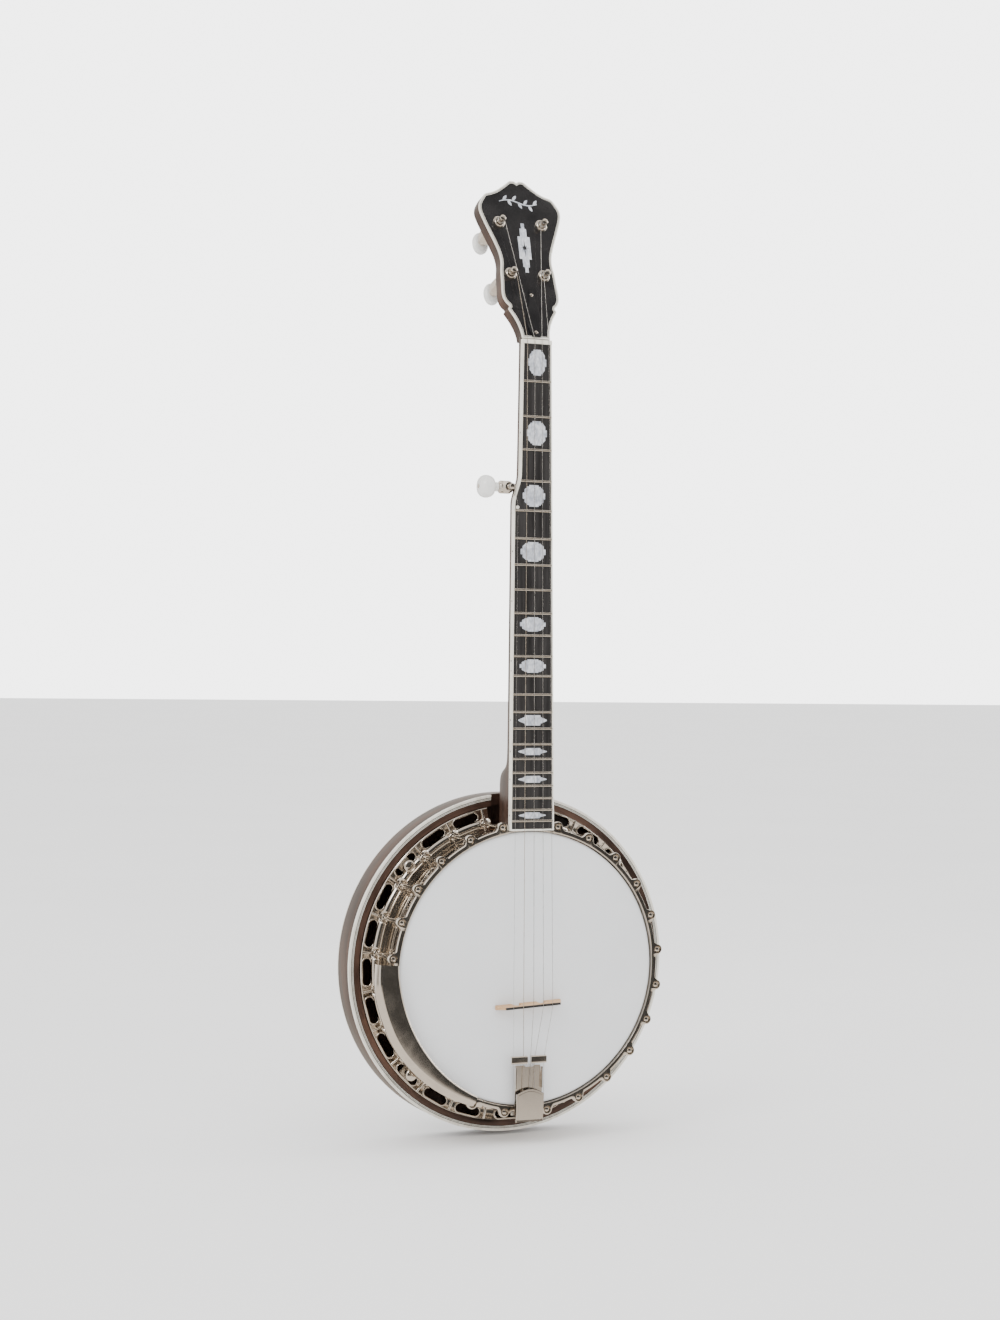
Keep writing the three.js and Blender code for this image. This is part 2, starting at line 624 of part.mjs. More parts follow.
function flange() {
  const body = ring([
    [139.8, FLANGE_FRONT], [144, FLANGE_FRONT], [146.4, 42.6], [151.2, 42.6], [153.4, FLANGE_FRONT],
    [FLANGE_OUTER, FLANGE_FRONT], [FLANGE_OUTER, FLANGE_BACK], [152.6, FLANGE_BACK], [150.4, 45.6],
    [147.2, 45.6], [145, FLANGE_BACK], [139.8, FLANGE_BACK],
  ]);
  const holes = HOOK_ANGLES.map((angle) => rod(around(angle, HOOK_CIRCLE, 0), BACK, 2.6, 30, 60, 6));
  const slots = slotAngles().map((angle) => slotCutter(angle, 157.6, 27, 9, 30, 60));
  const heelGap = box(-25.5, 25.5, 30, 60, 144.4, 170);
  return cut(body, ...holes, ...slots, heelGap);
}

function tensionHoop() {
  const bar = ring([[HOOP_INNER, HOOP_FRONT], [HOOP_OUTER, HOOP_FRONT], [HOOP_OUTER, HOOP_BACK], [HOOP_INNER, HOOP_BACK]]);
  const ears = HOOK_ANGLES.map((angle) => turned(around(angle, HOOK_CIRCLE - 0.4, 0), BACK, [[5, HOOP_FRONT], [5, 5]], 8));
  const shafts = HOOK_ANGLES.map((angle) => rod(around(angle, HOOK_CIRCLE, 0), BACK, 2, 4, 62, 6));
  const nuts = HOOK_ANGLES.map((angle) => rod(around(angle, HOOK_CIRCLE, 0), BACK, 4.2, FLANGE_BACK + 0.4, 60, 6));
  const notch = box(-25, 25, -10, 0.5, 120, 160);
  return joined(cut(bar, notch), ...ears, ...shafts, ...nuts);
}

function coordinatorRod(y, from, nutFrom) {
  const start = new THREE.Vector3(0, y, 0);
  const bar = rod(start, UP, 3.2, from, 160, 10);
  const tailNut = rod(start, UP, 5.5, nutFrom, nutFrom + 4, 6);
  return joined(bar, tailNut);
}

// ---- armrest -------------------------------------------------------------------------------------
function armrest() {
  const sections = ARMREST_PLAN.map(([, inner, shoulder, outer]) => {
    const line = [[inner, -13.6], [inner + 2.5, -14.6], [shoulder - 2, -14.6], [shoulder, -13.4], [outer, -8.5], [outer, -5]];
    return [...line, ...line.map(([r, y]) => [r - 0.7, y + 1.2]).reverse()];
  });
  return sweep(sections, (k, [r, y]) => around(ARMREST_PLAN[k][0], r, y));
}

function armrestBracket() {
  const [from, to] = [188.5, 231.8];
  const strap = [[150.4, 14], [152.4, 14], [152.4, 24], [150.4, 24]];
  const sections = [];
  for (let k = 0; k <= 12; k += 1) {
    sections.push(strap);
  }
  const bar = sweep(sections, (k, [r, y]) => around(lerp(from, to, k / 12), r, y));
  const legs = [195.7, 224.6].map((angle) => {
    const section = [[149.4, -11.6], [150.8, -11.6], [152, 16], [150.5, 16]];
    return sweep([section, section], (k, [r, y]) => around(angle + (k === 0 ? -2.5 : 2.5), r, y));
  });
  return joined(bar, ...legs);
}

// ---- tailpiece ------------------------------------------------------------------------------------
function tailpieceBracket() {
  const lip = box(-9, 9, -6, -4, -148.5, -112);
  const drop = box(-9, 9, -6, 38, -148.5, -146.5);
  return cut(joined(lip, drop), rod(new THREE.Vector3(0, 30, 0), UP, 3.6, -160, -130));
}

function tailpieceBody() {
  const outline = [[-15, -151], [15, -151], [15, -122], [12.5, -104], [12.5, -95], [-15.5, -95], [-15.5, -104], [-15, -122]];
  const base = plate(outline, -8.2, -6.5);
  const tips = [[-21.5, -3.6], [0.4, 17.5]].map(([x0, x1]) => box(x0, x1, -12.4, -11, -93, -87.5));
  const legs = [-12.6, 10.6].map((x) => box(x - 1.2, x + 1.2, -12.2, -7, -95.2, -92.4));
  const feet = [-12.6, 10.6].map((x) => box(x - 1.2, x + 1.2, -8.2, -6.5, -96, -94));
  return joined(base, ...tips, ...legs, ...feet);
}

function tailpieceLid() {
  const outline = [[-14.8, -155], [15, -155], [15.4, -126], [8, -122.4], [0, -121.2], [-8, -122.4], [-15.2, -126]];
  const cover = plate(outline, -12.4, -11);
  const hinge = rod(new THREE.Vector3(0, -9.4, -153.6), new THREE.Vector3(1, 0, 0), 1.9, -14.6, 14.8, 12);
  const link = box(-14.6, 14.8, -11.8, -9.4, -155, -152.6);
  return joined(cover, hinge, link);
}

// ---- resonator --------------------------------------------------------------------------------------
function resonatorWall() {
  const wall = ring([
    [WALL_INNER, RESONATOR_FRONT], [170.2, RESONATOR_FRONT], [170.2, 51.6], [RESONATOR_RADIUS, 51.6],
    [RESONATOR_RADIUS, 80], [WALL_INNER, 80],
  ]);
  return cut(wall, box(-22.5, 22.5, 40, 57, 150, 190));
}

function resonatorFrontBinding() {
  const strip = ring([[170.5, RESONATOR_FRONT], [RESONATOR_RADIUS, RESONATOR_FRONT], [RESONATOR_RADIUS, 51.3], [170.5, 51.3]]);
  return cut(strip, box(-22.5, 22.5, 40, 57, 150, 190));
}

function resonatorBackBinding() {
  return ring([[170.5, 80.3], [RESONATOR_RADIUS, 80.3], [175.2, 83.4], [173.6, RESONATOR_EDGE], [170.5, RESONATOR_EDGE]]);
}

function resonatorBack() {
  return revolve([
    [0, 92.4], [70, 91.4], [125, 87.2], [163, 80.3], [170.2, 80.3], [170.2, RESONATOR_EDGE], [155, 88.5],
    [120, 93.4], [80, 96.2], [45, RESONATOR_BACK], [0, RESONATOR_BACK],
  ]);
}

function resonatorLug(degrees) {
  const section = [[150, 50], [WALL_INNER - 0.8, 50], [WALL_INNER - 0.8, 66], [159, 66], [159, 56], [150, 56]];
  const lug = sweep([section, section], (k, [r, y]) => around(degrees + (k === 0 ? -2.6 : 2.6), r, y));
  return cut(lug, rod(around(degrees, 155.6, 0), BACK, 2.6, 40, 60, 12));
}

function thumbscrew(degrees) {
  return turned(around(degrees, 155.6, 0), BACK, [
    [5, 34.5], [6.4, 35.5], [6.4, 40.5], [4, 42], [2, 42.6], [2, 61],
  ], 12);
}

// ---- assembly -----------------------------------------------------------------------------------------
const banjo = new THREE.Group();
banjo.name = 'banjo';
banjo.position.copy(HANGER_POINT).negate();

function add(name, geometry, look) {
  const bare = geometry.index ? geometry.toNonIndexed() : geometry;
  bare.computeVertexNormals();
  const mesh = new THREE.Mesh(bare, material(look, ...LOOKS[look]));
  mesh.name = name;
  banjo.add(mesh);
}

add('neck', neck(), 'mahogany');
add('fingerboard', fingerboard(), 'ebony');
add('fingerboard_binding', fingerboardBinding(), 'ivoroid');
add('nut', nut(), 'ivoroid');
add('fifth_string_nut', fifthStringNut(), 'ivoroid');
add('peghead_overlay', pegheadOverlay(), 'black_lacquer');
add('peghead_binding', pegheadBinding(), 'ivoroid');
add('truss_rod_cover', trussRodCover(), 'black_lacquer');
add('truss_rod', trussBar(0), 'steel');

TUNER_SPOTS.forEach((spot, i) => {
  add(`tuner_${i + 1}_housing`, tunerHousing(spot), 'nickel');
  add(`tuner_${i + 1}_post`, tunerPost(spot), 'nickel');
  add(`tuner_${i + 1}_button`, tunerButton(spot), 'pearl_plastic');
});
add('fifth_tuner_housing', fifthHousing(), 'nickel');
add('fifth_tuner_post', fifthPost(), 'nickel');
add('fifth_tuner_button', fifthButton(), 'pearl_plastic');

[4, 3, 2, 1].forEach((name, number) => add(`string_${name}`, headString(number), 'steel'));
add('string_5', fifthString(), 'steel');

add('bridge_base', bridgeBase(), 'maple');
add('bridge_top', bridgeTop(), 'ebony');
add('head', head(), 'head_skin');
add('tone_ring', toneRing(), 'nickel');
add('rim', rim(), 'maple');
add('flange', flange(), 'nickel');
add('tension_hoop', tensionHoop(), 'nickel');
add('coordinator_rod_front', coordinatorRod(30, -156, -153.5), 'steel');
add('coordinator_rod_back', coordinatorRod(60, -148, -145.5), 'steel');
add('armrest', armrest(), 'nickel');
add('armrest_bracket', armrestBracket(), 'nickel');
add('tailpiece_bracket', tailpieceBracket(), 'nickel');
add('tailpiece_body', tailpieceBody(), 'nickel');
add('tailpiece_lid', tailpieceLid(), 'nickel');

add('resonator_wall', resonatorWall(), 'mahogany');
add('resonator_back', resonatorBack(), 'mahogany');
add('resonator_front_binding', resonatorFrontBinding(), 'ivoroid');
add('resonator_back_binding', resonatorBackBinding(), 'ivoroid');
THUMBSCREW_ANGLES.forEach((degrees, i) => {
  add(`resonator_lug_${i + 1}`, resonatorLug(degrees), 'nickel');
  add(`thumbscrew_${i + 1}`, thumbscrew(degrees), 'nickel');
});

export default banjo;
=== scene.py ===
"""Five-string resonator banjo: fine surfaces, materials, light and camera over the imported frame.

Lengths in this file are millimetres in the drum's own coordinates: the origin is the
centre of the head's front face, X runs to the treble side, Y to the back and Z up the neck.
at() turns them into the frame's metres.
"""

import math

import bmesh
import bpy
from mathutils import Matrix, Vector


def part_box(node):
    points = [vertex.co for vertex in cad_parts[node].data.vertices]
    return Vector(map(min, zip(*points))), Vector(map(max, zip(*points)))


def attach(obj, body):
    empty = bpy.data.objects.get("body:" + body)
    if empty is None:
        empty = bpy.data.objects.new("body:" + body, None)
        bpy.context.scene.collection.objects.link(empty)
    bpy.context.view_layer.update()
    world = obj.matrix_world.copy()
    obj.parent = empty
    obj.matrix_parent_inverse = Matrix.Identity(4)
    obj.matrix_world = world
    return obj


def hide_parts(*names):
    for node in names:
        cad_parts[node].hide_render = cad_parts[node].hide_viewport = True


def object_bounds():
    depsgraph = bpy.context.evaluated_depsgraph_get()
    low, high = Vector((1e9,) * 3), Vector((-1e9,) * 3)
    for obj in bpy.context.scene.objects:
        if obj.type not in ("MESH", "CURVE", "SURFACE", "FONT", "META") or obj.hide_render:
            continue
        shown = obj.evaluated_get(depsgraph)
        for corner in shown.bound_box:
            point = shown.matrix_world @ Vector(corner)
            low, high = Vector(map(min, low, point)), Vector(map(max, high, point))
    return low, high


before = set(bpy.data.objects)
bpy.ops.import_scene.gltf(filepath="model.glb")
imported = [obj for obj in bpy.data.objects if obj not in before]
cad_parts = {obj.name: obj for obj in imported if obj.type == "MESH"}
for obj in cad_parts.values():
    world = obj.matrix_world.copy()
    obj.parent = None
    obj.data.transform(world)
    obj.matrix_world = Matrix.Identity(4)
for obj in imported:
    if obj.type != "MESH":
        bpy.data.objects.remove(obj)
CAD_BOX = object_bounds()
HEAD_LOW, HEAD_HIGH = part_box("head")
CENTRE = Vector(((HEAD_LOW[0] + HEAD_HIGH[0]) / 2, HEAD_LOW[1], (HEAD_LOW[2] + HEAD_HIGH[2]) / 2))
BODY = "instrument"


def at(x, y, z):
    return CENTRE + Vector((x, y, z)) * 0.001


# ---------------------------------------------------------------- camera
AZIMUTH = math.radians(-22.87)
ELEVATION = math.radians(3.61)
ROLL = math.radians(0.908)


def add_camera():
    back = Vector((math.sin(AZIMUTH) * math.cos(ELEVATION), -math.cos(AZIMUTH) * math.cos(ELEVATION),
                   math.sin(ELEVATION)))
    right = Vector((0, 0, 1)).cross(back).normalized()
    up = back.cross(right)
    tilted_right = right * math.cos(ROLL) + up * math.sin(ROLL)
    tilted_up = up * math.cos(ROLL) - right * math.sin(ROLL)
    data = bpy.data.cameras.new("camera")
    data.lens = 63.64
    data.sensor_width = 36
    data.shift_x = 0.0227
    data.shift_y = 0.106
    data.clip_end = 50
    camera = bpy.data.objects.new("camera", data)
    bpy.context.scene.collection.objects.link(camera)
    turn = Matrix((tilted_right, tilted_up, back)).transposed()
    camera.matrix_world = Matrix.Translation(at(-973.0, -2149.3, 320.0)) @ turn.to_4x4()
    bpy.context.scene.camera = camera


add_camera()


# ---------------------------------------------------------------- materials
class Shader:
    """A Principled material with a few helpers for its node tree."""

    def __init__(self, name, **values):
        self.material = bpy.data.materials.new(name)
        self.material.use_nodes = True
        self.tree = self.material.node_tree
        self.principled = self.tree.nodes["Principled BSDF"]
        for socket, value in values.items():
            self.principled.inputs[socket.replace("_", " ")].default_value = value

    def node(self, kind, **settings):
        made = self.tree.nodes.new(kind)
        for key, value in settings.items():
            setattr(made, key, value)
        return made

    def link(self, source, target):
        self.tree.links.new(source, target)

    def coordinates(self, scale, source="Object"):
        coordinate = self.node("ShaderNodeTexCoord")
        mapping = self.node("ShaderNodeMapping")
        mapping.inputs["Scale"].default_value = scale
        self.link(coordinate.outputs[source], mapping.inputs["Vector"])
        return mapping.outputs["Vector"]

    def noise(self, vector, scale=1.0, detail=4.0, roughness=0.6, distortion=0.0):
        made = self.node("ShaderNodeTexNoise")
        self.link(vector, made.inputs["Vector"])
        made.inputs["Scale"].default_value = scale
        made.inputs["Detail"].default_value = detail
        made.inputs["Roughness"].default_value = roughness
        made.inputs["Distortion"].default_value = distortion
        return made.outputs["Fac"]

    def ramp(self, factor, *stops):
        made = self.node("ShaderNodeValToRGB")
        elements = made.color_ramp.elements
        while len(elements) < len(stops):
            elements.new(0.5)
        for element, (position, colour) in zip(elements, stops):
            element.position = position
            element.color = (*colour, 1) if len(colour) == 3 else colour
        self.link(factor, made.inputs["Fac"])
        return made.outputs["Color"]

    def span(self, factor, low, high, start=0.3, stop=0.7):
        made = self.node("ShaderNodeMapRange")
        self.link(factor, made.inputs["Value"])
        made.inputs["From Min"].default_value = start
        made.inputs["From Max"].default_value = stop
        made.inputs["To Min"].default_value = low
        made.inputs["To Max"].default_value = high
        return made.outputs["Result"]

    def mix(self, factor, first, second, mode="MIX"):
        made = self.node("ShaderNodeMix", data_type="RGBA", blend_type=mode)
        for value, socket in ((factor, 0), (first, 6), (second, 7)):
            if hasattr(value, "links"):
                self.link(value, made.inputs[socket])
            else:
                made.inputs[socket].default_value = value
        return made.outputs[2]

    def bump(self, height, strength, distance=0.0005):
        made = self.node("ShaderNodeBump")
        made.inputs["Strength"].default_value = strength
        made.inputs["Distance"].default_value = distance
        self.link(height, made.inputs["Height"])
        self.link(made.outputs["Normal"], self.principled.inputs["Normal"])

    def set(self, socket, source):
        self.link(source, self.principled.inputs[socket])


def nickel(name="nickel", colour=(0.80, 0.74, 0.67), low=0.07, high=0.17):
    made = Shader(name, Metallic=1.0)
    fine = made.noise(made.coordinates((900, 900, 900)), detail=3)
    broad = made.noise(made.coordinates((38, 38, 38)), detail=5)
    tint = tuple(c * 0.82 for c in colour)
    made.set("Base Color", made.ramp(broad, (0.3, tint), (0.65, colour)))
    made.set("Roughness", made.span(broad, low, high))
    made.bump(fine, 0.03, 0.0001)
    return made.material


def stained_wood(name, source="Object", scale=(60, 60, 5), dark=(0.020, 0.0105, 0.0075),
                 light=(0.098, 0.054, 0.037),
                 blotch=(7, 7, 3), gloss=0.28):
    made = Shader(name, Specular_IOR_Level=0.3, Coat_Weight=0.06, Coat_Roughness=0.25)
    vector = made.coordinates(scale, source)
    grain = made.noise(vector, 1.0, 8, 0.62, 0.7)
    pores = made.noise(made.coordinates(tuple(s * 7 for s in scale), source), 1.0, 3, 0.5)
    figure = made.noise(made.coordinates(blotch, source), 1.0, 4, 0.55, 1.2)
    middle = tuple((a + b) / 2 for a, b in zip(dark, light))
    base = made.ramp(grain, (0.28, dark), (0.5, middle), (0.72, light))
    patch = made.ramp(figure, (0.36, (0.42, 0.36, 0.33)), (0.52, (0.85, 0.82, 0.8)),
                      (0.68, (1.25, 1.18, 1.12)))
    wood = made.mix(1.0, base, patch, "MULTIPLY")
    pore_mask = made.ramp(pores, (0.60, (1, 1, 1)), (0.70, (0.55, 0.5, 0.48)))
    made.set("Base Color", made.mix(1.0, wood, pore_mask, "MULTIPLY"))
    made.set("Roughness", made.span(grain, gloss, gloss + 0.14))
    made.bump(pores, 0.12, 0.0002)
    return made.material


def ebony():
    made = Shader("ebony", Specular_IOR_Level=0.4)
    grain = made.noise(made.coordinates((260, 260, 9)), 1.0, 7, 0.6)
    made.set("Base Color", made.ramp(grain, (0.3, (0.010, 0.009, 0.009)), (0.7, (0.034, 0.031, 0.030))))
    made.set("Roughness", made.span(grain, 0.38, 0.55))
    made.bump(grain, 0.15, 0.0002)
    return made.material


def plastic(name, colour, shade, low=0.22, high=0.38, scale=120, coat=0.2):
    made = Shader(name, Coat_Weight=coat, Coat_Roughness=0.08)
    cloud = made.noise(made.coordinates((scale, scale, scale * 0.3)), 1.0, 5, 0.6, 0.4)
    made.set("Base Color", made.ramp(cloud, (0.3, shade), (0.62, colour)))
    made.set("Roughness", made.span(cloud, low, high))
    made.bump(made.noise(made.coordinates((2500, 2500, 2500)), 1.0, 2), 0.03, 0.0001)
    return made.material


def pearl(name="pearl_inlay", cell=75):
    made = Shader(name, Coat_Weight=0.6, Coat_Roughness=0.05)
    folds = made.node("ShaderNodeTexVoronoi", feature="F1")
    warped = made.noise(made.coordinates((cell, cell, cell * 0.6)), 1.0, 3, 0.5, 2.2)
    made.link(made.coordinates((cell * 1.3, cell * 1.3, cell * 0.7)), folds.inputs["Vector"])
    blend = made.mix(0.55, made.ramp(warped, (0.34, (0.22, 0.235, 0.27)), (0.5, (0.46, 0.48, 0.52)),
                                     (0.62, (0.68, 0.69, 0.71))),
                     made.ramp(folds.outputs["Distance"], (0.1, (0.72, 0.73, 0.76)),
                               (0.8, (0.32, 0.34, 0.39))))
    made.set("Base Color", blend)
    made.set("Roughness", made.span(warped, 0.12, 0.4))
    return made.material


def lacquer():
    made = Shader("black_lacquer", Coat_Weight=0.7, Coat_Roughness=0.06)
    swirl = made.noise(made.coordinates((45, 45, 45)), 1.0, 5, 0.55)
    made.set("Base Color", made.ramp(swirl, (0.3, (0.004, 0.004, 0.005)), (0.7, (0.012, 0.011, 0.012))))
    made.set("Roughness", made.span(swirl, 0.16, 0.3))
    made.bump(made.noise(made.coordinates((700, 700, 700)), 1.0, 2), 0.04, 0.0001)
    return made.material


def skin():
    made = Shader("head_skin", Specular_IOR_Level=0.25)
    mottle = made.noise(made.coordinates((9, 9, 9)), 1.0, 6, 0.6)
    grit = made.noise(made.coordinates((2600, 2600, 2600)), 1.0, 2, 0.6)
    made.set("Base Color", made.ramp(mottle, (0.3, (0.655, 0.665, 0.675)), (0.7, (0.700, 0.708, 0.715))))
    made.set("Roughness", made.span(grit, 0.62, 0.78))
    made.bump(grit, 0.25, 0.0001)
    return made.material


def maple(name="maple", dark=(0.42, 0.235, 0.115), light=(0.66, 0.43, 0.235)):
    made = Shader(name, Specular_IOR_Level=0.35)
    grain = made.noise(made.coordinates((14, 260, 260)), 1.0, 7, 0.6, 0.5)
    made.set("Base Color", made.ramp(grain, (0.3, dark), (0.68, light)))
    made.set("Roughness", made.span(grain, 0.42, 0.6))
    made.bump(grain, 0.12, 0.0002)
    return made.material


def wire_metal(name, colour, pitch=0.0):
    made = Shader(name, Metallic=1.0, Base_Color=(*colour, 1))
    streak = made.noise(made.coordinates((1500, 1500, 40)), 1.0, 3)
    made.set("Roughness", made.span(streak, 0.2, 0.36))
    made.set("Base Color", made.ramp(streak, (0.3, tuple(c * 0.8 for c in colour)), (0.7, colour)))
    if pitch:
        wave = made.node("ShaderNodeTexWave", wave_type="BANDS", bands_direction="Z")
        made.link(made.coordinates((1, 1, 1)), wave.inputs["Vector"])
        wave.inputs["Scale"].default_value = 0.314 / pitch
        made.bump(wave.outputs["Fac"], 0.6, 0.0002)
    return made.material


NICKEL = nickel()
NICKEL_SATIN = nickel("nickel_satin", (0.66, 0.62, 0.56), 0.2, 0.34)
FRET_WIRE = nickel("fret_wire", (0.80, 0.74, 0.66), 0.18, 0.30)
NECK_WOOD = stained_wood("mahogany_neck", scale=(70, 70, 6), blotch=(14, 14, 5))
WALL_WOOD = stained_wood("mahogany_wall", source="UV", scale=(9, 90, 1), blotch=(9, 26, 1))
BACK_WOOD = stained_wood("mahogany_back", scale=(70, 40, 6), blotch=(16, 6, 4))
EBONY = ebony()
IVOROID = plastic("ivoroid", (0.80, 0.77, 0.69), (0.66, 0.62, 0.53))
BLACK_LINE = plastic("black_line", (0.012, 0.012, 0.013), (0.02, 0.02, 0.02))
BUTTON_PLASTIC = plastic("pearl_plastic", (0.83, 0.82, 0.79), (0.66, 0.66, 0.64), 0.1, 0.22, 70, 0.6)
PEARL = pearl()
LACQUER = lacquer()
SKIN = skin()
MAPLE = maple()
RIM_WOOD = maple("rim_wood", (0.20, 0.095, 0.045), (0.34, 0.175, 0.085))
STEEL = wire_metal("plain_wire", (0.62, 0.60, 0.58))
WOUND = wire_metal("wound_wire", (0.56, 0.50, 0.43), 0.0005)


# The library slot that each material belongs to.
SLOTS = {
    **dict.fromkeys((NECK_WOOD.name, WALL_WOOD.name, BACK_WOOD.name), "mahogany"),
    **dict.fromkeys((EBONY.name,), "ebony"),
    **dict.fromkeys((FRET_WIRE.name, NICKEL.name), "nickel"),
    **dict.fromkeys((IVOROID.name,), "ivoroid"),
    **dict.fromkeys((BLACK_LINE.name, LACQUER.name), "black_lacquer"),
    **dict.fromkeys((PEARL.name, BUTTON_PLASTIC.name), "pearl_plastic"),
    **dict.fromkeys((STEEL.name, WOUND.name), "steel"),
    **dict.fromkeys((MAPLE.name, RIM_WOOD.name), "maple"),
    **dict.fromkeys((SKIN.name,), "head_skin"),
}


# ---------------------------------------------------------------- mesh tools
def piece(name, shape, material, body=BODY, stands_for=(), bevel=0.0, sharp=38.0, steps=2):
    """Makes an object from (vertices, faces, uvs) and lets it ride on a body."""
    verts, faces, uvs = shape
    mesh = bpy.data.meshes.new(name)
    mesh.from_pydata([tuple(v) for v in verts], [], faces)
    if uvs:
        layer = mesh.uv_layers.new(name="UVMap")
        for loop, uv in zip(layer.data, uvs):
            loop.uv = uv
    work = bmesh.new()
    work.from_mesh(mesh)
    bmesh.ops.remove_doubles(work, verts=work.verts, dist=2e-7)
    bmesh.ops.recalc_face_normals(work, faces=work.faces)
    if bevel:
        edges = [e for e in work.edges if len(e.link_faces) == 2
                 and e.calc_face_angle() > math.radians(sharp)]
        bmesh.ops.bevel(work, geom=edges, offset=bevel * 0.001, segments=steps, profile=0.6, affect="EDGES",
                        clamp_overlap=True)
    work.to_mesh(mesh)
    work.free()
    mesh.polygons.foreach_set("use_smooth", [True] * len(mesh.polygons))
    mesh.set_sharp_from_angle(angle=math.radians(50 if bevel else sharp))
    mesh.materials.append(material)
    made = bpy.data.objects.new(name, mesh)
    bpy.context.scene.collection.objects.link(made)
    if bevel:
        made.modifiers.new("normals", "WEIGHTED_NORMAL").keep_sharp = True
    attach(made, body)
    if stands_for:
        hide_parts(*stands_for)
    return made


def merged(*shapes):
    verts, faces, uvs = [], [], []
    for shape_verts, shape_faces, shape_uvs in shapes:
        start = len(verts)
        verts += shape_verts
        faces += [[start + i for i in face] for face in shape_faces]
        uvs += shape_uvs or [(0.0, 0.0)] * sum(len(face) for face in shape_faces)
    return verts, faces, uvs


def sweep(sections, place, loop=False):
    """Joins cross-sections of (u, v) points; place(k, u, v) gives each corner."""
    count = len(sections[0])
    verts = [place(k, u, v) for k, section in enumerate(sections) for u, v in section]
    along = [0.0]
    for k in range(1, len(sections)):
        along.append(along[-1] + (verts[k * count] - verts[(k - 1) * count]).length)
    across = [0.0]
    for i in range(count):
        across.append(across[-1] + (verts[(i + 1) % count] - verts[i]).length)
    faces, uvs = [], []
    for k in range(len(sections) if loop else len(sections) - 1):
        after = (k + 1) % len(sections)
        far = along[k + 1] if k + 1 < len(along) else along[k] + (verts[0] - verts[k * count]).length
        for i in range(count):
            j = (i + 1) % count
            faces.append([k * count + i, k * count + j, after * count + j, after * count + i])
            uvs += [(along[k], across[i]), (along[k], across[i + 1]), (far, across[i + 1]), (far, across[i])]
    if not loop:
        for k in (0, len(sections) - 1):
            faces.append([k * count + i for i in range(count)])
            uvs += [(verts[k * count + i].x, verts[k * count + i].z) for i in range(count)]
    return verts, faces, uvs


def around(degrees, radius, y):
    angle = math.radians(degrees)
    return at(radius * math.cos(angle), y, radius * math.sin(angle))


def arc_ring(profile, start=0.0, stop=360.0, steps=288):
    """A closed (radius, y) profile carried round the drum's axis."""
    full = stop - start >= 360
    count = steps if full else steps + 1
    sections = [profile] * count
    return sweep(sections, lambda k, r, y: around(start + (stop - start) * k / steps, r, y), full)


def turned(start, direction, profile, segments=32):
    """A (radius, distance) profile turned about an axis; it is closed at both ends."""
    axis = Vector(direction).normalized()
    side = axis.orthogonal().normalized()
    other = axis.cross(side)
    verts, rings = [], []
    for r, d in profile:
        centre = start + axis * (d * 0.001)
        if r < 1e-6:
            rings.append([len(verts)] * segments)
            verts.append(centre)
            continue
        rings.append(list(range(len(verts), len(verts) + segments)))
        for k in range(segments):
            angle = 2 * math.pi * k / segments
            verts.append(centre + (side * math.cos(angle) + other * math.sin(angle)) * (r * 0.001))
    faces = []
    for low, high in zip(rings, rings[1:]):
        for k in range(segments):
            j = (k + 1) % segments
            face = list(dict.fromkeys([low[k], low[j], high[j], high[k]]))
            if len(face) > 2:
                faces.append(face)
    for end in (rings[0], rings[-1]):
        if end[0] != end[1]:
            faces.append(list(end))
    return verts, faces, None


def rounded(points, amount, steps=3, closed=True):
    """Rounds the corners of a polygon by at most the given amount."""
    made = []
    count = len(points)
    for i, corner in enumerate(points):
        if not closed and i in (0, count - 1):
            made.append(tuple(corner))
            continue
        here = Vector(corner)
        before = Vector(points[i - 1]) - here
        after = Vector(points[(i + 1) % count]) - here
        reach = min(amount, before.length * 0.45, after.length * 0.45)
        a = here + before.normalized() * reach
        b = here + after.normalized() * reach
        for k in range(steps + 1):
            t = k / steps
            made.append(tuple(a * (1 - t) ** 2 + here * 2 * t * (1 - t) + b * t ** 2))
    return made


def tube(points, radius, sides=8, loop=False):
    """Round wire through points in metres; radius in millimetres."""
    count = len(points)
    tangents = []
    for k in range(count):
        before = points[k - 1] if loop or k else points[k]
        after = points[(k + 1) % count] if loop or k < count - 1 else points[k]
        tangents.append((after - before).normalized())
    normal = tangents[0].orthogonal().normalized()
    frames = []
    for tangent in tangents:
        normal = (normal - tangent * normal.dot(tangent)).normalized()
        frames.append((normal, tangent.cross(normal)))
    circle = [(math.cos(2 * math.pi * i / sides), math.sin(2 * math.pi * i / sides)) for i in range(sides)]

    def place(k, u, v):
        across, side = frames[k]
        return points[k] + (across * u + side * v) * (radius * 0.001)

    return sweep([circle] * count, place, loop)


def prism(outline, place_low, place_high):
    """A flat outline given a thickness; each place takes the outline's two numbers."""
    return sweep([outline, outline], lambda k, u, v: place_low(u, v) if k == 0 else place_high(u, v))


def block(x0, x1, y0, y1, z0, z1):
    corners = [(x0, z0), (x1, z0), (x1, z1), (x0, z1)]
    return prism(corners, lambda x, z: at(x, y0, z), lambda x, z: at(x, y1, z))


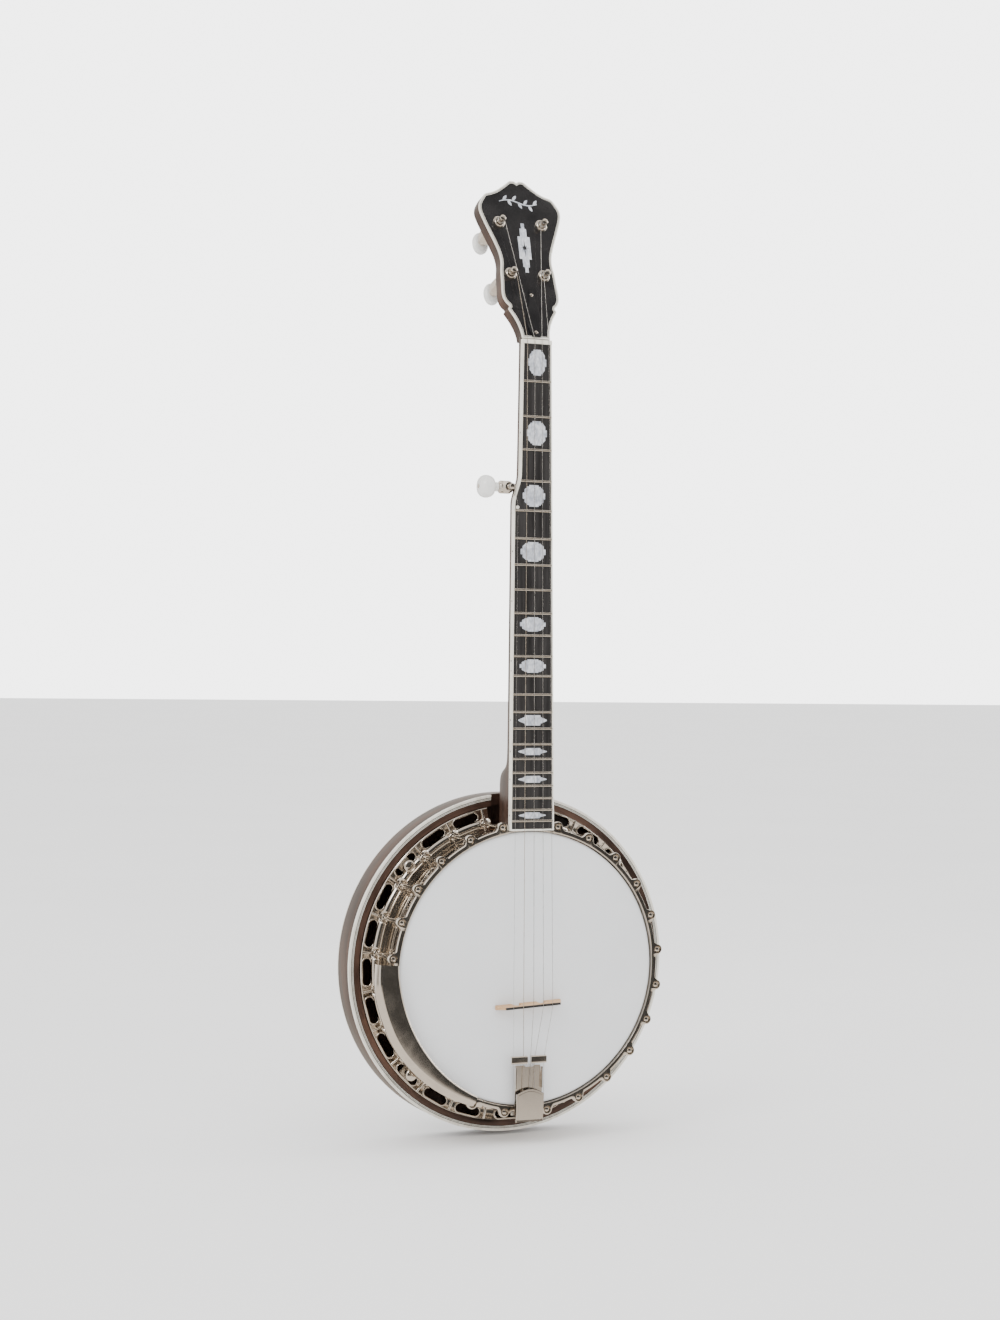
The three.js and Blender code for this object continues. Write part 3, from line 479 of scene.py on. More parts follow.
def carve(target, cutter_shape):
    """Cuts a shape out of a piece for good."""
    verts, faces, _ = cutter_shape
    mesh = bpy.data.meshes.new("cutter")
    mesh.from_pydata([tuple(v) for v in verts], [], faces)
    work = bmesh.new()
    work.from_mesh(mesh)
    bmesh.ops.recalc_face_normals(work, faces=work.faces)
    work.to_mesh(mesh)
    work.free()
    cutter = bpy.data.objects.new("cutter", mesh)
    bpy.context.scene.collection.objects.link(cutter)
    cut = target.modifiers.new("cut", "BOOLEAN")
    cut.operation = "DIFFERENCE"
    cut.solver = "EXACT"
    cut.object = cutter
    bpy.context.view_layer.update()
    result = bpy.data.meshes.new_from_object(target.evaluated_get(bpy.context.evaluated_depsgraph_get()))
    target.modifiers.remove(cut)
    target.data = result
    bpy.data.objects.remove(cutter)
    bpy.data.meshes.remove(mesh)
    result.polygons.foreach_set("use_smooth", [True] * len(result.polygons))
    result.set_sharp_from_angle(angle=math.radians(38))


# ---------------------------------------------------------------- shared shape rules
NUT_Z = 630.9
BOARD_END = 143.0
FRETS = 22
HOOK_RIGHT = (78, 63.6, 49.1, 34.7, 20.3, 5.9, -8.5, -23, -37.4, -51.8, -66.3, -80.7)
HOOKS = sorted((a + 360) % 360 for a in HOOK_RIGHT + tuple(180 - a for a in HOOK_RIGHT))
THUMBSCREWS = (41.9, 138.1, -44.6, -135.4)


def lerp(a, b, t):
    return a + (b - a) * t


def smooth(t):
    t = min(max(t, 0.0), 1.0)
    return t * t * (3 - 2 * t)


def board_y(z):
    return -5.34 + 0.035 * (z - BOARD_END)


def fret_z(number):
    return NUT_Z - 666.75 * (1 - 2 ** (-number / 12))


def board_right(z):
    return lerp(22.7, 18.5, (z - BOARD_END) / (NUT_Z - BOARD_END))


def board_left(z):
    wide = lerp(-22.5, -19.7, (z - BOARD_END) / (fret_z(5) - BOARD_END))
    narrow = lerp(-12.5, -10.2, (z - 500) / (NUT_Z - 500))
    return lerp(wide, narrow, smooth((z - 469) / 31))


def on_board(x, depth, z):
    return at(x, board_y(z) + depth, z)


FACE_TILT = math.radians(16.5)
FACE_NORMAL = Vector((0, -math.cos(FACE_TILT), math.sin(FACE_TILT)))
FACE_UP = Vector((0, math.sin(FACE_TILT), math.cos(FACE_TILT)))


def on_face(x, s, height=0.0):
    origin = at(x, board_y(NUT_Z) + 1.2, 630.9)
    return origin + (FACE_UP * s + FACE_NORMAL * height) * 0.001


def face_centre(s):
    return 4.4 - 0.023 * s


PEGHEAD_HALF = ((15.2, 6), (15.4, 10), (16, 14), (18, 21), (21.5, 28.5), (26.8, 36.8), (24.2, 39.5),
                (28.6, 43.5), (31, 49), (31.2, 56), (30.2, 66), (29.7, 77), (28.2, 86), (28.3, 92),
                (29.6, 99), (33.5, 110), (39.5, 125), (43.6, 136), (45.4, 143), (44.6, 149), (40.5, 156),
                (37, 160.5), (29.5, 162.5), (23, 165.5), (14, 172), (7.5, 177.2), (2.5, 177), )


def peghead_outline():
    """The half outline smoothed between its corners and mirrored about the centre line."""
    fine = rounded(list(PEGHEAD_HALF), 3.2, 3, closed=False)
    right = [(face_centre(s) + w, s) for w, s in fine]
    left = [(face_centre(s) - w, s) for w, s in reversed(fine)]
    return right + [(face_centre(175.4), 175.4)] + left


def inset(outline, distance):
    """Moves every edge of an outline inwards by the same distance."""
    count = len(outline)
    area = sum(outline[i - 1][0] * outline[i][1] - outline[i][0] * outline[i - 1][1] for i in range(count))
    sign = 1 if area > 0 else -1
    made = []
    for i, (x, y) in enumerate(outline):
        before = (Vector((x, y)) - Vector(outline[i - 1])).normalized()
        after = (Vector(outline[(i + 1) % count]) - Vector((x, y))).normalized()
        normal = Vector((-(before.y + after.y), before.x + after.x)).normalized()
        cosine = max(normal.x * -after.y + normal.y * after.x, 0.5)
        made.append((x + normal.x * sign * distance / cosine, y + normal.y * sign * distance / cosine))
    return made


# ---------------------------------------------------------------- neck
TUNERS = ((-24, 129.5), (22.6, 129.5), (-17.2, 74), (19.6, 74))
TUNER_HOLE = 4.85


def tuner_holes():
    """Bores through the peghead for the four tuning machines."""
    bore = [(0, -20), (TUNER_HOLE, -20), (TUNER_HOLE, 5), (0, 5)]
    return merged(*(turned(on_face(x, s), FACE_NORMAL, bore, 40) for x, s in TUNERS))


NECK_DEPTHS = ((136, 44.5), (165, 44.5), (187, 44.5), (194, 42.8), (199, 38), (202.5, 31), (206, 24),
               (212, 20), (225, 18.2), (300, 17.4), (360, 16.9), (430, 16.4), (500, 16.1), (540, 15.6),
               (600, 15.4), (628, 15.6), (640, 17))


def neck_depth(z):
    for (z0, d0), (z1, d1) in zip(NECK_DEPTHS, NECK_DEPTHS[1:]):
        if z <= z1:
            return lerp(d0, d1, max(z - z0, 0) / (z1 - z0))
    return NECK_DEPTHS[-1][1]


def soft_neck_depth(z):
    return sum(neck_depth(z + shift) for shift in (-2, -1, 0, 1, 2)) / 5


def neck_section(z):
    depth = soft_neck_depth(z)
    left = board_left(min(z, NUT_Z)) - 1.6
    right = board_right(min(z, NUT_Z)) + 1.6
    heel = smooth((depth - 20) / 22)
    power = lerp(0.85, 0.5, heel)
    section = []
    for i in range(29):
        angle = math.pi * i / 28
        across = math.copysign(abs(math.cos(angle)) ** power, math.cos(angle))
        pinch = 1 - heel * 0.2 * math.sin(angle)
        section.append(((left + right) / 2 + (right - left) / 2 * across * pinch,
                        5.3 + depth * abs(math.sin(angle)) ** power))
    return section


def build_neck():
    stations = [137 + 1.5 * k for k in range(56)] + [224 + 6 * k for k in range(41)]
    stations += [468 + 2.5 * k for k in range(14)] + [506 + 8 * k for k in range(16)] + [632, 638]
    shaft = sweep([neck_section(z) for z in stations], lambda k, x, depth: on_board(x, depth, stations[k]))
    neck = piece("neck_shaft", shaft, NECK_WOOD, stands_for=("neck",), sharp=45)
    carve(neck, arc_ring([(100, -20), (145.9, -20), (145.9, 10), (139.8, 10), (139.8, 41.6), (163.9, 41.6),
                          (163.9, 49.8), (139.8, 49.8), (139.8, 90), (100, 90)], 40, 140, 120))
    outline = peghead_outline()
    core = prism(outline, lambda x, s: on_face(x, s, -1.9), lambda x, s: on_face(x, s, -14.9))
    slab = piece("peghead_core", core, NECK_WOOD, bevel=0.9, sharp=60)
    carve(slab, tuner_holes())


def strip_stations():
    return [BOARD_END, 200, 280, 360, 430] + [466 + 2 * k for k in range(19)] + [520, 570, 610, NUT_Z]


def build_fingerboard():
    zs = strip_stations()
    slab = [[(board_left(z), 0), (board_right(z), 0), (board_right(z), 5.2),
             (board_left(z), 5.2)] for z in zs]
    piece("fingerboard_slab", sweep(slab, lambda k, x, d: on_board(x, d, zs[k])), EBONY,
          stands_for=("fingerboard",))
    wires = []
    for number in range(1, FRETS + 1):
        z = fret_z(number)
        ends = (board_left(z) - 0.2, board_right(z) + 0.2)
        crown = [(-1.15, 0.15)] + [(-1.15 * math.cos(math.pi * k / 8),
                                    -0.12 - 0.75 * math.sin(math.pi * k / 8))
                                   for k in range(9)] + [(1.15, 0.15)]
        wires.append(sweep([crown, crown], lambda k, dz, d, ends=ends, z=z: on_board(ends[k], d, z + dz)))
    piece("frets", merged(*wires), FRET_WIRE)

    edge = [[(board_left(z) - 1.6, board_left(z) - 0.02),
             (board_right(z) + 0.02, board_right(z) + 1.6)] for z in zs]
    strips = []
    for side in (0, 1):
        rows = [[(edge[k][side][0], 0.02), (edge[k][side][1], 0.02), (edge[k][side][1], 5.2),
                 (edge[k][side][0], 5.2)]
                for k in range(len(zs))]
        strips.append(sweep(rows, lambda k, x, d: on_board(x, d, zs[k])))
    end = [(board_left(BOARD_END) - 1.6, 0.02), (board_right(BOARD_END) + 1.6, 0.02),
           (board_right(BOARD_END) + 1.6, 5.2), (board_left(BOARD_END) - 1.6, 5.2)]
    strips.append(sweep([end, end], lambda k, x, d: on_board(x, d, BOARD_END - 1.6 * (1 - k))))
    piece("fingerboard_edging", merged(*strips), IVOROID, stands_for=("fingerboard_binding",))

    line = []
    for side in (-1, 1):
        rows = []
        for z in zs:
            x = board_left(z) - 1.62 if side < 0 else board_right(z) + 1.62
            rows.append([(x - 0.03, 5.2), (x + 0.03, 5.2), (x + 0.03, 5.75), (x - 0.03, 5.75)])
        line.append(sweep(rows, lambda k, x, d: on_board(x, d, zs[k])))
    piece("fingerboard_dark_line", merged(*line), BLACK_LINE)

    dots = []
    for number in (3, 5, 7, 9, 12, 15, 17, 19, 22):
        z = (fret_z(number) + fret_z(number - 1)) / 2
        for shift in ((-5, 5) if number == 12 else (0,)):
            centre = on_board(board_left(z) - 1.5, 2.4, z + shift)
            dots.append(turned(centre, (-1, 0, 0), [(1.0, 0), (1.0, 0.12), (0.8, 0.16)], 14))
    piece("side_dots", merged(*dots), BLACK_LINE)

    left, right = board_left(NUT_Z) - 1.6, board_right(NUT_Z) + 1.6
    profile = [(NUT_Z, 5.1), (NUT_Z, -0.55), (NUT_Z + 0.6, -1.0), (NUT_Z + 3.6, -0.5), (NUT_Z + 4.4, 0.1),
               (NUT_Z + 4.4, 5.1)]
    piece("nut_bone", sweep([profile, profile], lambda k, z, d: on_board((left, right)[k], d, z)), IVOROID,
          stands_for=("nut",), bevel=0.25)
    pip = turned(on_board(-17.2, 0, 466.5), (0, -1, 0),
                 [(1.75, -0.2), (1.75, 0.7), (1.45, 1.0), (0.5, 1.1), (0, 1.1)], 20)
    piece("fifth_string_pip", pip, IVOROID, stands_for=("fifth_string_nut",))


INLAYS = ((1, 19.7, 25.7), (3, 22.2, 24), (5, 24.5, 21.6), (7, 27.5, 19.5), (10, 28.3, 14.4),
          (12, 28.8, 13.4),
          (15, 31.6, 10.4), (17, 31.9, 7), (19, 31.8, 6.8), (22, 30, 6))


def stepped_plate(width, height):
    """A plate whose corners are cut back in steps; flat ones taper to points at their ends."""
    w, h = width / 2, height / 2
    if height > 12:
        quarter = [(w, h * 0.28), (w * 0.84, h * 0.28), (w * 0.84, h * 0.58), (w * 0.62, h * 0.78),
                   (w * 0.62, h * 0.86), (w * 0.42, h * 0.86), (w * 0.42, h)]
    else:
        quarter = [(w, h * 0.08), (w * 0.83, h * 0.34), (w * 0.76, h * 0.40), (w * 0.56, h * 0.62),
                   (w * 0.54, h)]
    quarter = [(x, min(z, h)) for x, z in quarter]
    upper = quarter + [(-x, z) for x, z in reversed(quarter)]
    return upper + [(-x, -z) for x, z in upper]


def build_inlays():
    plates = []
    for number, width, height in INLAYS:
        z0 = (fret_z(number) + fret_z(number - 1)) / 2
        x0 = (board_left(z0) + board_right(z0)) / 2
        outline = [(x0 + x, z0 + z) for x, z in stepped_plate(width, height)]
        plates.append(prism(outline, lambda x, z: on_board(x, -0.06, z), lambda x, z: on_board(x, 0.3, z)))
    piece("fret_inlays", merged(*plates), PEARL)


# ---------------------------------------------------------------- peghead
def band(outer, inner, low, high):
    """A flat ring between two outlines with the same number of corners."""
    count = len(outer)
    verts = [on_face(x, s, h) for h in (low, high) for x, s in outer + inner]
    faces = []
    for i in range(count):
        j = (i + 1) % count
        o0, o1, i0, i1 = i, j, count + i, count + j
        t = 2 * count
        faces += [[o0, o1, i1, i0], [o0 + t, o1 + t, i1 + t, i0 + t], [o0, o1, o1 + t, o0 + t],
                  [i0, i1, i1 + t, i0 + t]]
    return verts, faces, None


def build_peghead():
    outline = peghead_outline()
    overlay = prism(inset(outline, 2.55), lambda x, s: on_face(x, s, -1.8), lambda x, s: on_face(x, s, 0.0))
    face = piece("peghead_face", overlay, LACQUER, stands_for=("peghead_overlay",))
    carve(face, tuner_holes())
    steps = [0, 1.25, 1.6, 1.95, 2.25, 2.55]
    white, black = [], []
    for k, (a, b) in enumerate(zip(steps, steps[1:])):
        ring = band(inset(outline, a) if a else outline, inset(outline, b), -1.85, -0.02)
        (black if k % 2 else white).append(ring)
    piece("peghead_edging", merged(*white), IVOROID, stands_for=("peghead_binding",))
    piece("peghead_edging_lines", merged(*black), BLACK_LINE)

    half = [(4.4, 7), (7.6, 16), (8.3, 24), (5.8, 36), (2.9, 50), (1.4, 57)]
    cover = [(face_centre(s) + x, s) for x, s in half] + [(face_centre(s) - x, s) for x, s in reversed(half)]
    piece("truss_cover", prism(cover, lambda x, s: on_face(x, s, 0.05), lambda x, s: on_face(x, s, 1.6)),
          LACQUER,
          stands_for=("truss_rod_cover",), bevel=0.4)
    screws = [turned(on_face(face_centre(s), s, 1.5), FACE_NORMAL,
                     [(1.75, 0), (1.75, 0.25), (1.2, 0.65), (0.5, 0.75), (0.45, 0.45), (0, 0.4)],
                     20) for s in (12, 52)]
    piece("truss_cover_screws", merged(*screws), NICKEL)

    # Stepped long diamond with a small dark star, and a plain leaf flourish above it.
    centre = face_centre(104)
    quarter = [(1.8, 26.8), (1.8, 21), (3.6, 21), (3.6, 12.2), (6.6, 12.2), (6.6, 0)]
    right = quarter + [(x, -s) for x, s in reversed(quarter[:-1])]
    diamond = [(centre + x, 104 + s) for x, s in right] + [(centre - x, 104 + s) for x, s in reversed(right)]
    piece("peghead_diamond", prism(diamond, lambda x, s: on_face(x, s, -0.1), lambda x,
                                   s: on_face(x, s, 0.05)), PEARL)
    rays = []
    for k in range(8):
        angle = math.pi * k / 4
        length = 11 if k in (2, 6) else 4.6
        tip = (math.cos(angle) * length, math.sin(angle) * length)
        wide = (-math.sin(angle) * 0.7, math.cos(angle) * 0.7)
        ray = [(centre + wide[0], 104 + wide[1]), (centre + tip[0], 104 + tip[1]),
               (centre - wide[0], 104 - wide[1])]
        rays.append(prism(ray, lambda x, s: on_face(x, s, 0.02), lambda x, s: on_face(x, s, 0.14)))
    hub = turned(on_face(centre, 104, 0.0), FACE_NORMAL, [(1.9, 0), (1.9, 0.16)], 20)
    piece("peghead_star", merged(*rays, hub), BLACK_LINE)
    build_flourish()


def build_flourish():
    """A vine of plain leaves along a shallow wave, in place of any lettering."""
    shapes = []
    stem = []
    for k in range(49):
        t = k / 48
        x = lerp(-22, 20, t)
        stem.append((x, 153.5 + 2.2 * math.sin(t * math.pi * 2.0)))
    rows = []
    for k, (x, s) in enumerate(stem):
        width = 0.32 + 0.35 * math.sin(math.pi * k / 48)
        rows.append([(x, s - width), (x, s + width)])
    outline = [row[1] for row in rows] + [row[0] for row in reversed(rows)]
    shapes.append(outline)
    for k, (position, side) in enumerate(((5, 1), (11, -1), (17, 1), (24, -1), (31, 1), (37, -1), (43, 1))):
        x0, s0 = stem[position]
        lean = math.radians(52 if side > 0 else -58)
        leaf = []
        for i in range(13):
            t = i / 12
            leaf.append((t * 7.2, 1.5 * math.sin(math.pi * t) ** 0.8))
        leaf += [(u, -v) for u, v in reversed(leaf[1:-1])]
        shapes.append([(x0 + u * math.cos(lean) - v * math.sin(lean),
                        s0 + u * math.sin(lean) + v * math.cos(lean))
                       for u, v in leaf])
    solids = [prism([(face_centre(153) + x, s) for x, s in shape], lambda x, s: on_face(x, s, -0.1),
                    lambda x, s: on_face(x, s, 0.05)) for shape in shapes]
    piece("peghead_flourish", merged(*solids), PEARL)


# ---------------------------------------------------------------- tuners
FIFTH_POST_X = -25.5
FIFTH_POST_Z = 487


def build_tuner(number, x, s):
    spot = on_face(x, s)
    case = turned(spot, FACE_NORMAL, [(0, -38), (5.4, -38), (7.2, -37.2), (8.0, -35.6), (8.2, -33),
                                      (8.2, -24), (7.9, -21.6), (6.9, -20.4), (6.7, -18.6), (7.4, -17.6),
                                      (7.4, -15.5), (4.7, -15.4), (4.7, 0.1), (6.3, 0.1), (6.5, 0.5),
                                      (6.4, 1.2), (5.6, 1.6), (5.0, 1.7), (4.9, 2.6), (4.5, 3.0), (3.6, 3.0),
                                      (3.4, 2.4), (3.4, -20.8), (0, -20.8)], 40)
    piece(f"tuner_{number}_case", case, NICKEL, stands_for=(f"tuner_{number}_housing",))
    post = turned(spot, FACE_NORMAL, [(0, -20), (3.0, -20), (3.0, 3.6), (2.75, 4.6), (2.55, 6.6), (2.7, 8.4),
                                      (3.15, 9.6), (3.25, 11.2), (3.0, 11.9), (2.2, 12.4), (1.0, 12.55),
                                      (0.8, 12.1), (0, 12.1)], 28)
    piece(f"tuner_{number}_shaft_post", post, NICKEL, body=f"tuner_{number}_shaft",
          stands_for=(f"tuner_{number}_post",))
    stem = turned(spot, FACE_NORMAL, [(0, -54.6), (1.9, -54.6), (2.5, -54.2), (2.7, -53.6), (2.7, -52),
                                      (3.0, -46), (4.4, -45), (4.6, -43.8), (4.0, -42.6), (3.0, -41.8),
                                      (2.8, -38.4), (0, -38.4)], 24)
    piece(f"tuner_{number}_stem", stem, NICKEL, body=f"tuner_{number}_knob")
    layers = ((0.30, -53.9), (0.62, -53.8), (0.84, -53.2), (0.96, -51.9), (1.0, -50), (1.0, -48.6),
              (0.96, -46.9), (0.84, -45.6), (0.62, -45), (0.30, -44.9))
    oval = []
    for k in range(40):
        angle = 2 * math.pi * k / 40
        oval.append((math.cos(angle) * (8.2 + 0.9 * math.sin(angle) ** 2), math.sin(angle) * 11.6))
    knob = sweep([[(u * grow, v * grow) for u, v in oval] for grow, _ in layers],
                 lambda k, u, v: on_face(x + u, s + v, layers[k][1]))
    piece(f"tuner_{number}_pearl_knob", knob, BUTTON_PLASTIC, body=f"tuner_{number}_knob",
          stands_for=(f"tuner_{number}_button",), sharp=50)


def build_fifth_tuner():
    z = FIFTH_POST_Z
    y = board_y(z) + 13
    axis = Vector((-1, 0, 0))
    start = at(0, y, z)
    foot = at(FIFTH_POST_X, y, z)
    barrel = turned(start, axis, [(0, 10), (3.7, 10), (3.7, 18), (5.2, 18.4), (5.6, 19.4), (6.3, 20.2),
                                  (6.6, 21.5), (6.6, 30), (6.3, 31.2), (5.2, 31.8), (4.6, 32.8), (4.0, 33.2),
                                  (0, 33.2)], 40)
    tower = turned(foot, (0, -1, 0), [(0, -5), (5.2, -5), (6.0, -4), (6.0, 5), (5.0, 6.6), (4.7, 8),
                                      (4.7, 11), (4.4, 11.8), (3.3, 12), (3.1, 11.4), (3.1, 9), (0, 9)], 36)
    piece("fifth_tuner_case", merged(barrel, tower), NICKEL, stands_for=("fifth_tuner_housing",))
    post = turned(foot, (0, -1, 0), [(0, 9.5), (2.7, 9.5), (2.7, 14), (2.4, 15), (2.3, 16.4), (2.5, 17.6),
                                     (2.9, 18.6), (2.95, 19.8), (2.5, 20.5), (1.2, 20.9), (0, 21)], 28)
    piece("fifth_tuner_shaft_post", post, NICKEL, body="fifth_tuner_shaft", stands_for=("fifth_tuner_post",))
    collar = turned(start, axis, [(0, 33.6), (4.4, 33.6), (4.7, 34.4), (4.6, 36), (4.9, 37.2), (6.6, 38),
                                  (8.8, 39.4), (10.4, 41.6), (11.2, 44.2), (11.4, 46.6), (11.1, 49),
                                  (10.1, 51.2), (8.3, 53), (5.6, 54), (3.0, 54.2), (0, 54.2)], 48)
    piece("fifth_tuner_knob_pearl", collar, BUTTON_PLASTIC, body="fifth_tuner_knob",
          stands_for=("fifth_tuner_button",))
    screw = turned(start, axis, [(0, 53.9), (2.1, 53.9), (2.1, 54.4), (1.7, 54.8), (0.5, 54.95), (0.4, 54.6),
                                 (0, 54.6)], 24)
    piece("fifth_tuner_knob_screw", screw, NICKEL, body="fifth_tuner_knob")


# ---------------------------------------------------------------- strings and bridge
BRIDGE_Z = -36.4
NUT_STRINGS = (-7.2, 0.9, 8.8, 16.4)
BRIDGE_STRINGS = (-11, 0.2, 11, 21.4)
TAIL_STRINGS = (-7.2, 0.7, 5.5, 15.9)
# String radii in millimetres, 4 to 1 and then the fifth.
GAUGES = (0.30, 0.26, 0.23, 0.21)
FIFTH_GAUGE = 0.13
# A string on its post: turns, points in one turn, and millimetres along the post from point to point.
WRAP_TURNS = 3.25
WRAP_STEPS = 20
WRAP_RISE = 0.045


def curve_through(points, steps=6):
    """Points in millimetres joined by straight runs, each split up."""
    made = []
    for a, b in zip(points, points[1:]):
        for k in range(steps):
            made.append(a.lerp(b, k / steps))
    made.append(points[-1])
    return made


def tail_route(bridge_x, tail_x, radius):
    y = -16.1 - radius
    return [at(tail_x, -9.3, -127), at(tail_x, -9.3, -95), at(tail_x, -9.9, -88.5),
            at(bridge_x, y, BRIDGE_Z - 1.0),
            at(bridge_x, y, BRIDGE_Z + 1.0)]


def build_strings():
    posts = ((4, -17.2, 74, 1), (3, -24, 129.5, 1), (2, 22.6, 129.5, -1), (1, 19.6, 74, -1))
    for index, (name, px, ps, side) in enumerate(posts):
        radius = GAUGES[index]
        y = board_y(NUT_Z) - 1.0 - radius
        route = curve_through(tail_route(BRIDGE_STRINGS[index], TAIL_STRINGS[index], radius))
        route += [at(NUT_STRINGS[index], y, NUT_Z + 0.2), at(NUT_STRINGS[index], y + 0.25, NUT_Z + 4.2)]
        start = 0 if side > 0 else math.pi
        for k in range(int(WRAP_TURNS * WRAP_STEPS) + 1):
            angle = start + side * 2 * math.pi * k / WRAP_STEPS
            reach = 3.05 + radius
            route.append(on_face(px + reach * math.cos(angle), ps + reach * math.sin(angle),
                                 7.9 - k * WRAP_RISE))
        piece(f"string_{name}_wire", tube(route, radius, 8), WOUND if name == 4 else STEEL,
              stands_for=(f"string_{name}",), sharp=60)
    radius = FIFTH_GAUGE
    y = board_y(466.5) - 1.1 - radius
    route = curve_through(tail_route(-22, -18, radius)) + [at(-17.2, y, 465.8), at(-17.2, y, 467.2)]
    base = board_y(FIFTH_POST_Z) + 13
    for k in range(3 * WRAP_STEPS + 1):
        angle = 2 * math.pi * k / WRAP_STEPS
        route.append(at(FIFTH_POST_X + 2.75 * math.cos(angle), base - 17.6 + k * WRAP_RISE,
                        FIFTH_POST_Z + 2.75 * math.sin(angle)))
    piece("string_5_wire", tube(route, radius, 8), STEEL, stands_for=("string_5",), sharp=60)


def bridge_point(x, height, half):
    slant = math.radians(3)
    return at(0.6 + x * math.cos(slant) - half * math.sin(slant), -height,
              BRIDGE_Z + half * math.cos(slant) + x * math.sin(slant))


def bridge_slab(outline):
    def half(height):
        return lerp(2.3, 1.05, height / 16)
    return prism(outline, lambda x, h: bridge_point(x, h, -half(h)), lambda x, h: bridge_point(x, h, half(h)))


def build_bridge():
    arch = [(9.4, 0.05), (9.7, 5.6), (11.2, 8.4), (13.7, 9.3), (16.2, 8.4), (17.7, 5.6), (18, 0.05)]
    right = arch + [(36, 0.05), (36, 3.4), (34.2, 6), (31.6, 9.6), (30.2, 13.9)]
    lower = right + [(-x, height) for x, height in reversed(right)]
    piece("bridge_body", bridge_slab(lower), MAPLE, stands_for=("bridge_base",), bevel=0.3)
    top = [(-30.2, 13.95), (30.2, 13.95), (30.2, 15.9), (-30.2, 15.9)]
    piece("bridge_cap", bridge_slab(top), EBONY, stands_for=("bridge_top",), bevel=0.25)


# ---------------------------------------------------------------- drum
def build_drum():
    film = [(0, 0), (60, 0), (120, 0), (136.2, 0), (137.6, 0.15), (138.8, 0.6), (139.7, 1.5), (140.1, 2.8),
            (140.1, 8.4)]
    inner = [(139.6, 8.4), (139.6, 3.2), (138.9, 1.7), (137.4, 0.8), (120, 0.6), (0, 0.6)]
    piece("head_film", turned(at(0, 0, 0), (0, 1, 0), film + inner, 240), SKIN, stands_for=("head",),
          sharp=60)
    metal = rounded([(129.5, 1.1), (137.4, 1.1), (139.1, 2.6), (139.1, 22), (136.1, 22), (136.1, 9),
                     (127.6, 9), (127.6, 4)], 0.6)
    piece("tone_ring_metal", arc_ring(metal), NICKEL, stands_for=("tone_ring",))
    wood = rounded([(120.6, 9.3), (135.8, 9.3), (135.8, 22.3), (139.3, 22.3), (139.3, 70), (120.6, 70)], 0.8)
    piece("rim_shell", arc_ring(wood), RIM_WOOD, stands_for=("rim",))
    build_hoop()
    build_flange()


def angle_gap(a, b):
    return abs((a - b + 180) % 360 - 180)


def ear_reach(degrees):
    """Outer radius of the hoop's front, swelling round each hook in a soft lobe."""
    reach = 145.5
    for hook in HOOKS:
        gap = angle_gap(degrees, hook)
        if gap > 8:
            continue
        t = math.radians(gap) * 147.6
        lobe = 147.7 + math.sqrt(max(27.0 - t * t, 0)) if t < 5.1 else 0
        fillet = 145.5 + 4.2 * smooth(1 - (t - 3.6) / 4.6) if t > 3.6 else 0
        reach = max(reach, lobe, fillet)
    return reach


def build_hoop():
    steps = 1440
    sections = []
    for k in range(steps):
        reach = ear_reach(k * 360 / steps)
        low = board_y(143) + 5.9 if angle_gap(k * 360 / steps, 90) < 9.8 else -2.5
        sections.append([(140.6, 9.5), (140.6, low + 0.5), (141.0, low + 0.1), (141.5, low),
                         (reach - 1.0, low), (reach - 0.4, low + 0.15), (reach, low + 0.8), (reach, 4.4),
                         (reach - 0.3, 5.0), (145.4, 5.1), (145.4, 9.2), (145.0, 9.5)])
    shape = sweep(sections, lambda k, r, y: around(k * 360 / steps, r, y), True)
    hoop = piece("hoop_ring", shape, NICKEL, stands_for=("tension_hoop",), sharp=40)
    cups = [turned(around(a, 147.6, 0), (0, 1, 0), [(3.95, -3.2), (3.95, -0.6), (3.5, -0.2)],
                   24) for a in HOOKS]
    carve(hoop, merged(*cups))
    hooks = []
    for angle in HOOKS:
        base = around(angle, 147.6, 0)
        hooks.append(turned(base, (0, 1, 0), [(0, -2.1), (1.1, -2.15), (2.0, -1.95), (2.7, -1.4), (2.9, -0.8),
                                              (2.7, -0.1)], 20))
        rod = around(angle, 148, 0)
        hooks.append(turned(rod, (0, 1, 0), [(1.9, 4.0), (1.9, 62)], 16))
        hooks.append(turned(rod, (0, 1, 0), [(2.4, 5.1), (2.9, 5.6), (2.9, 8.0), (2.0, 9.0)], 16))
        hooks.append(turned(rod, (0, 1, 0), [(3.9, 49.6), (4.3, 50.2), (4.3, 59.2), (3.9, 60)], 6))
    piece("hooks_and_nuts", merged(*hooks), NICKEL, sharp=35)


def slot_middles():
    middles = []
    for k, hook in enumerate(HOOKS):
        nearest = HOOKS[k + 1] if k + 1 < len(HOOKS) else HOOKS[0] + 360
        if nearest - hook < 22:
            middles.append((hook + nearest) / 2)
    return middles


def slot_outline(degrees, length, width, steps=10):
    """Round-ended slot lying along the ring, as (radius, angle) points."""
    made = []
    straight = (length - width) / 2
    for k in range(2 * steps):
        angle = math.pi * (k + 0.5) / steps
        u = math.copysign(straight, math.cos(angle)) + math.cos(angle) * width / 2
        v = math.sin(angle) * width / 2
        made.append((157.6 + v, degrees + math.degrees(u / (157.6 + v))))
    return made


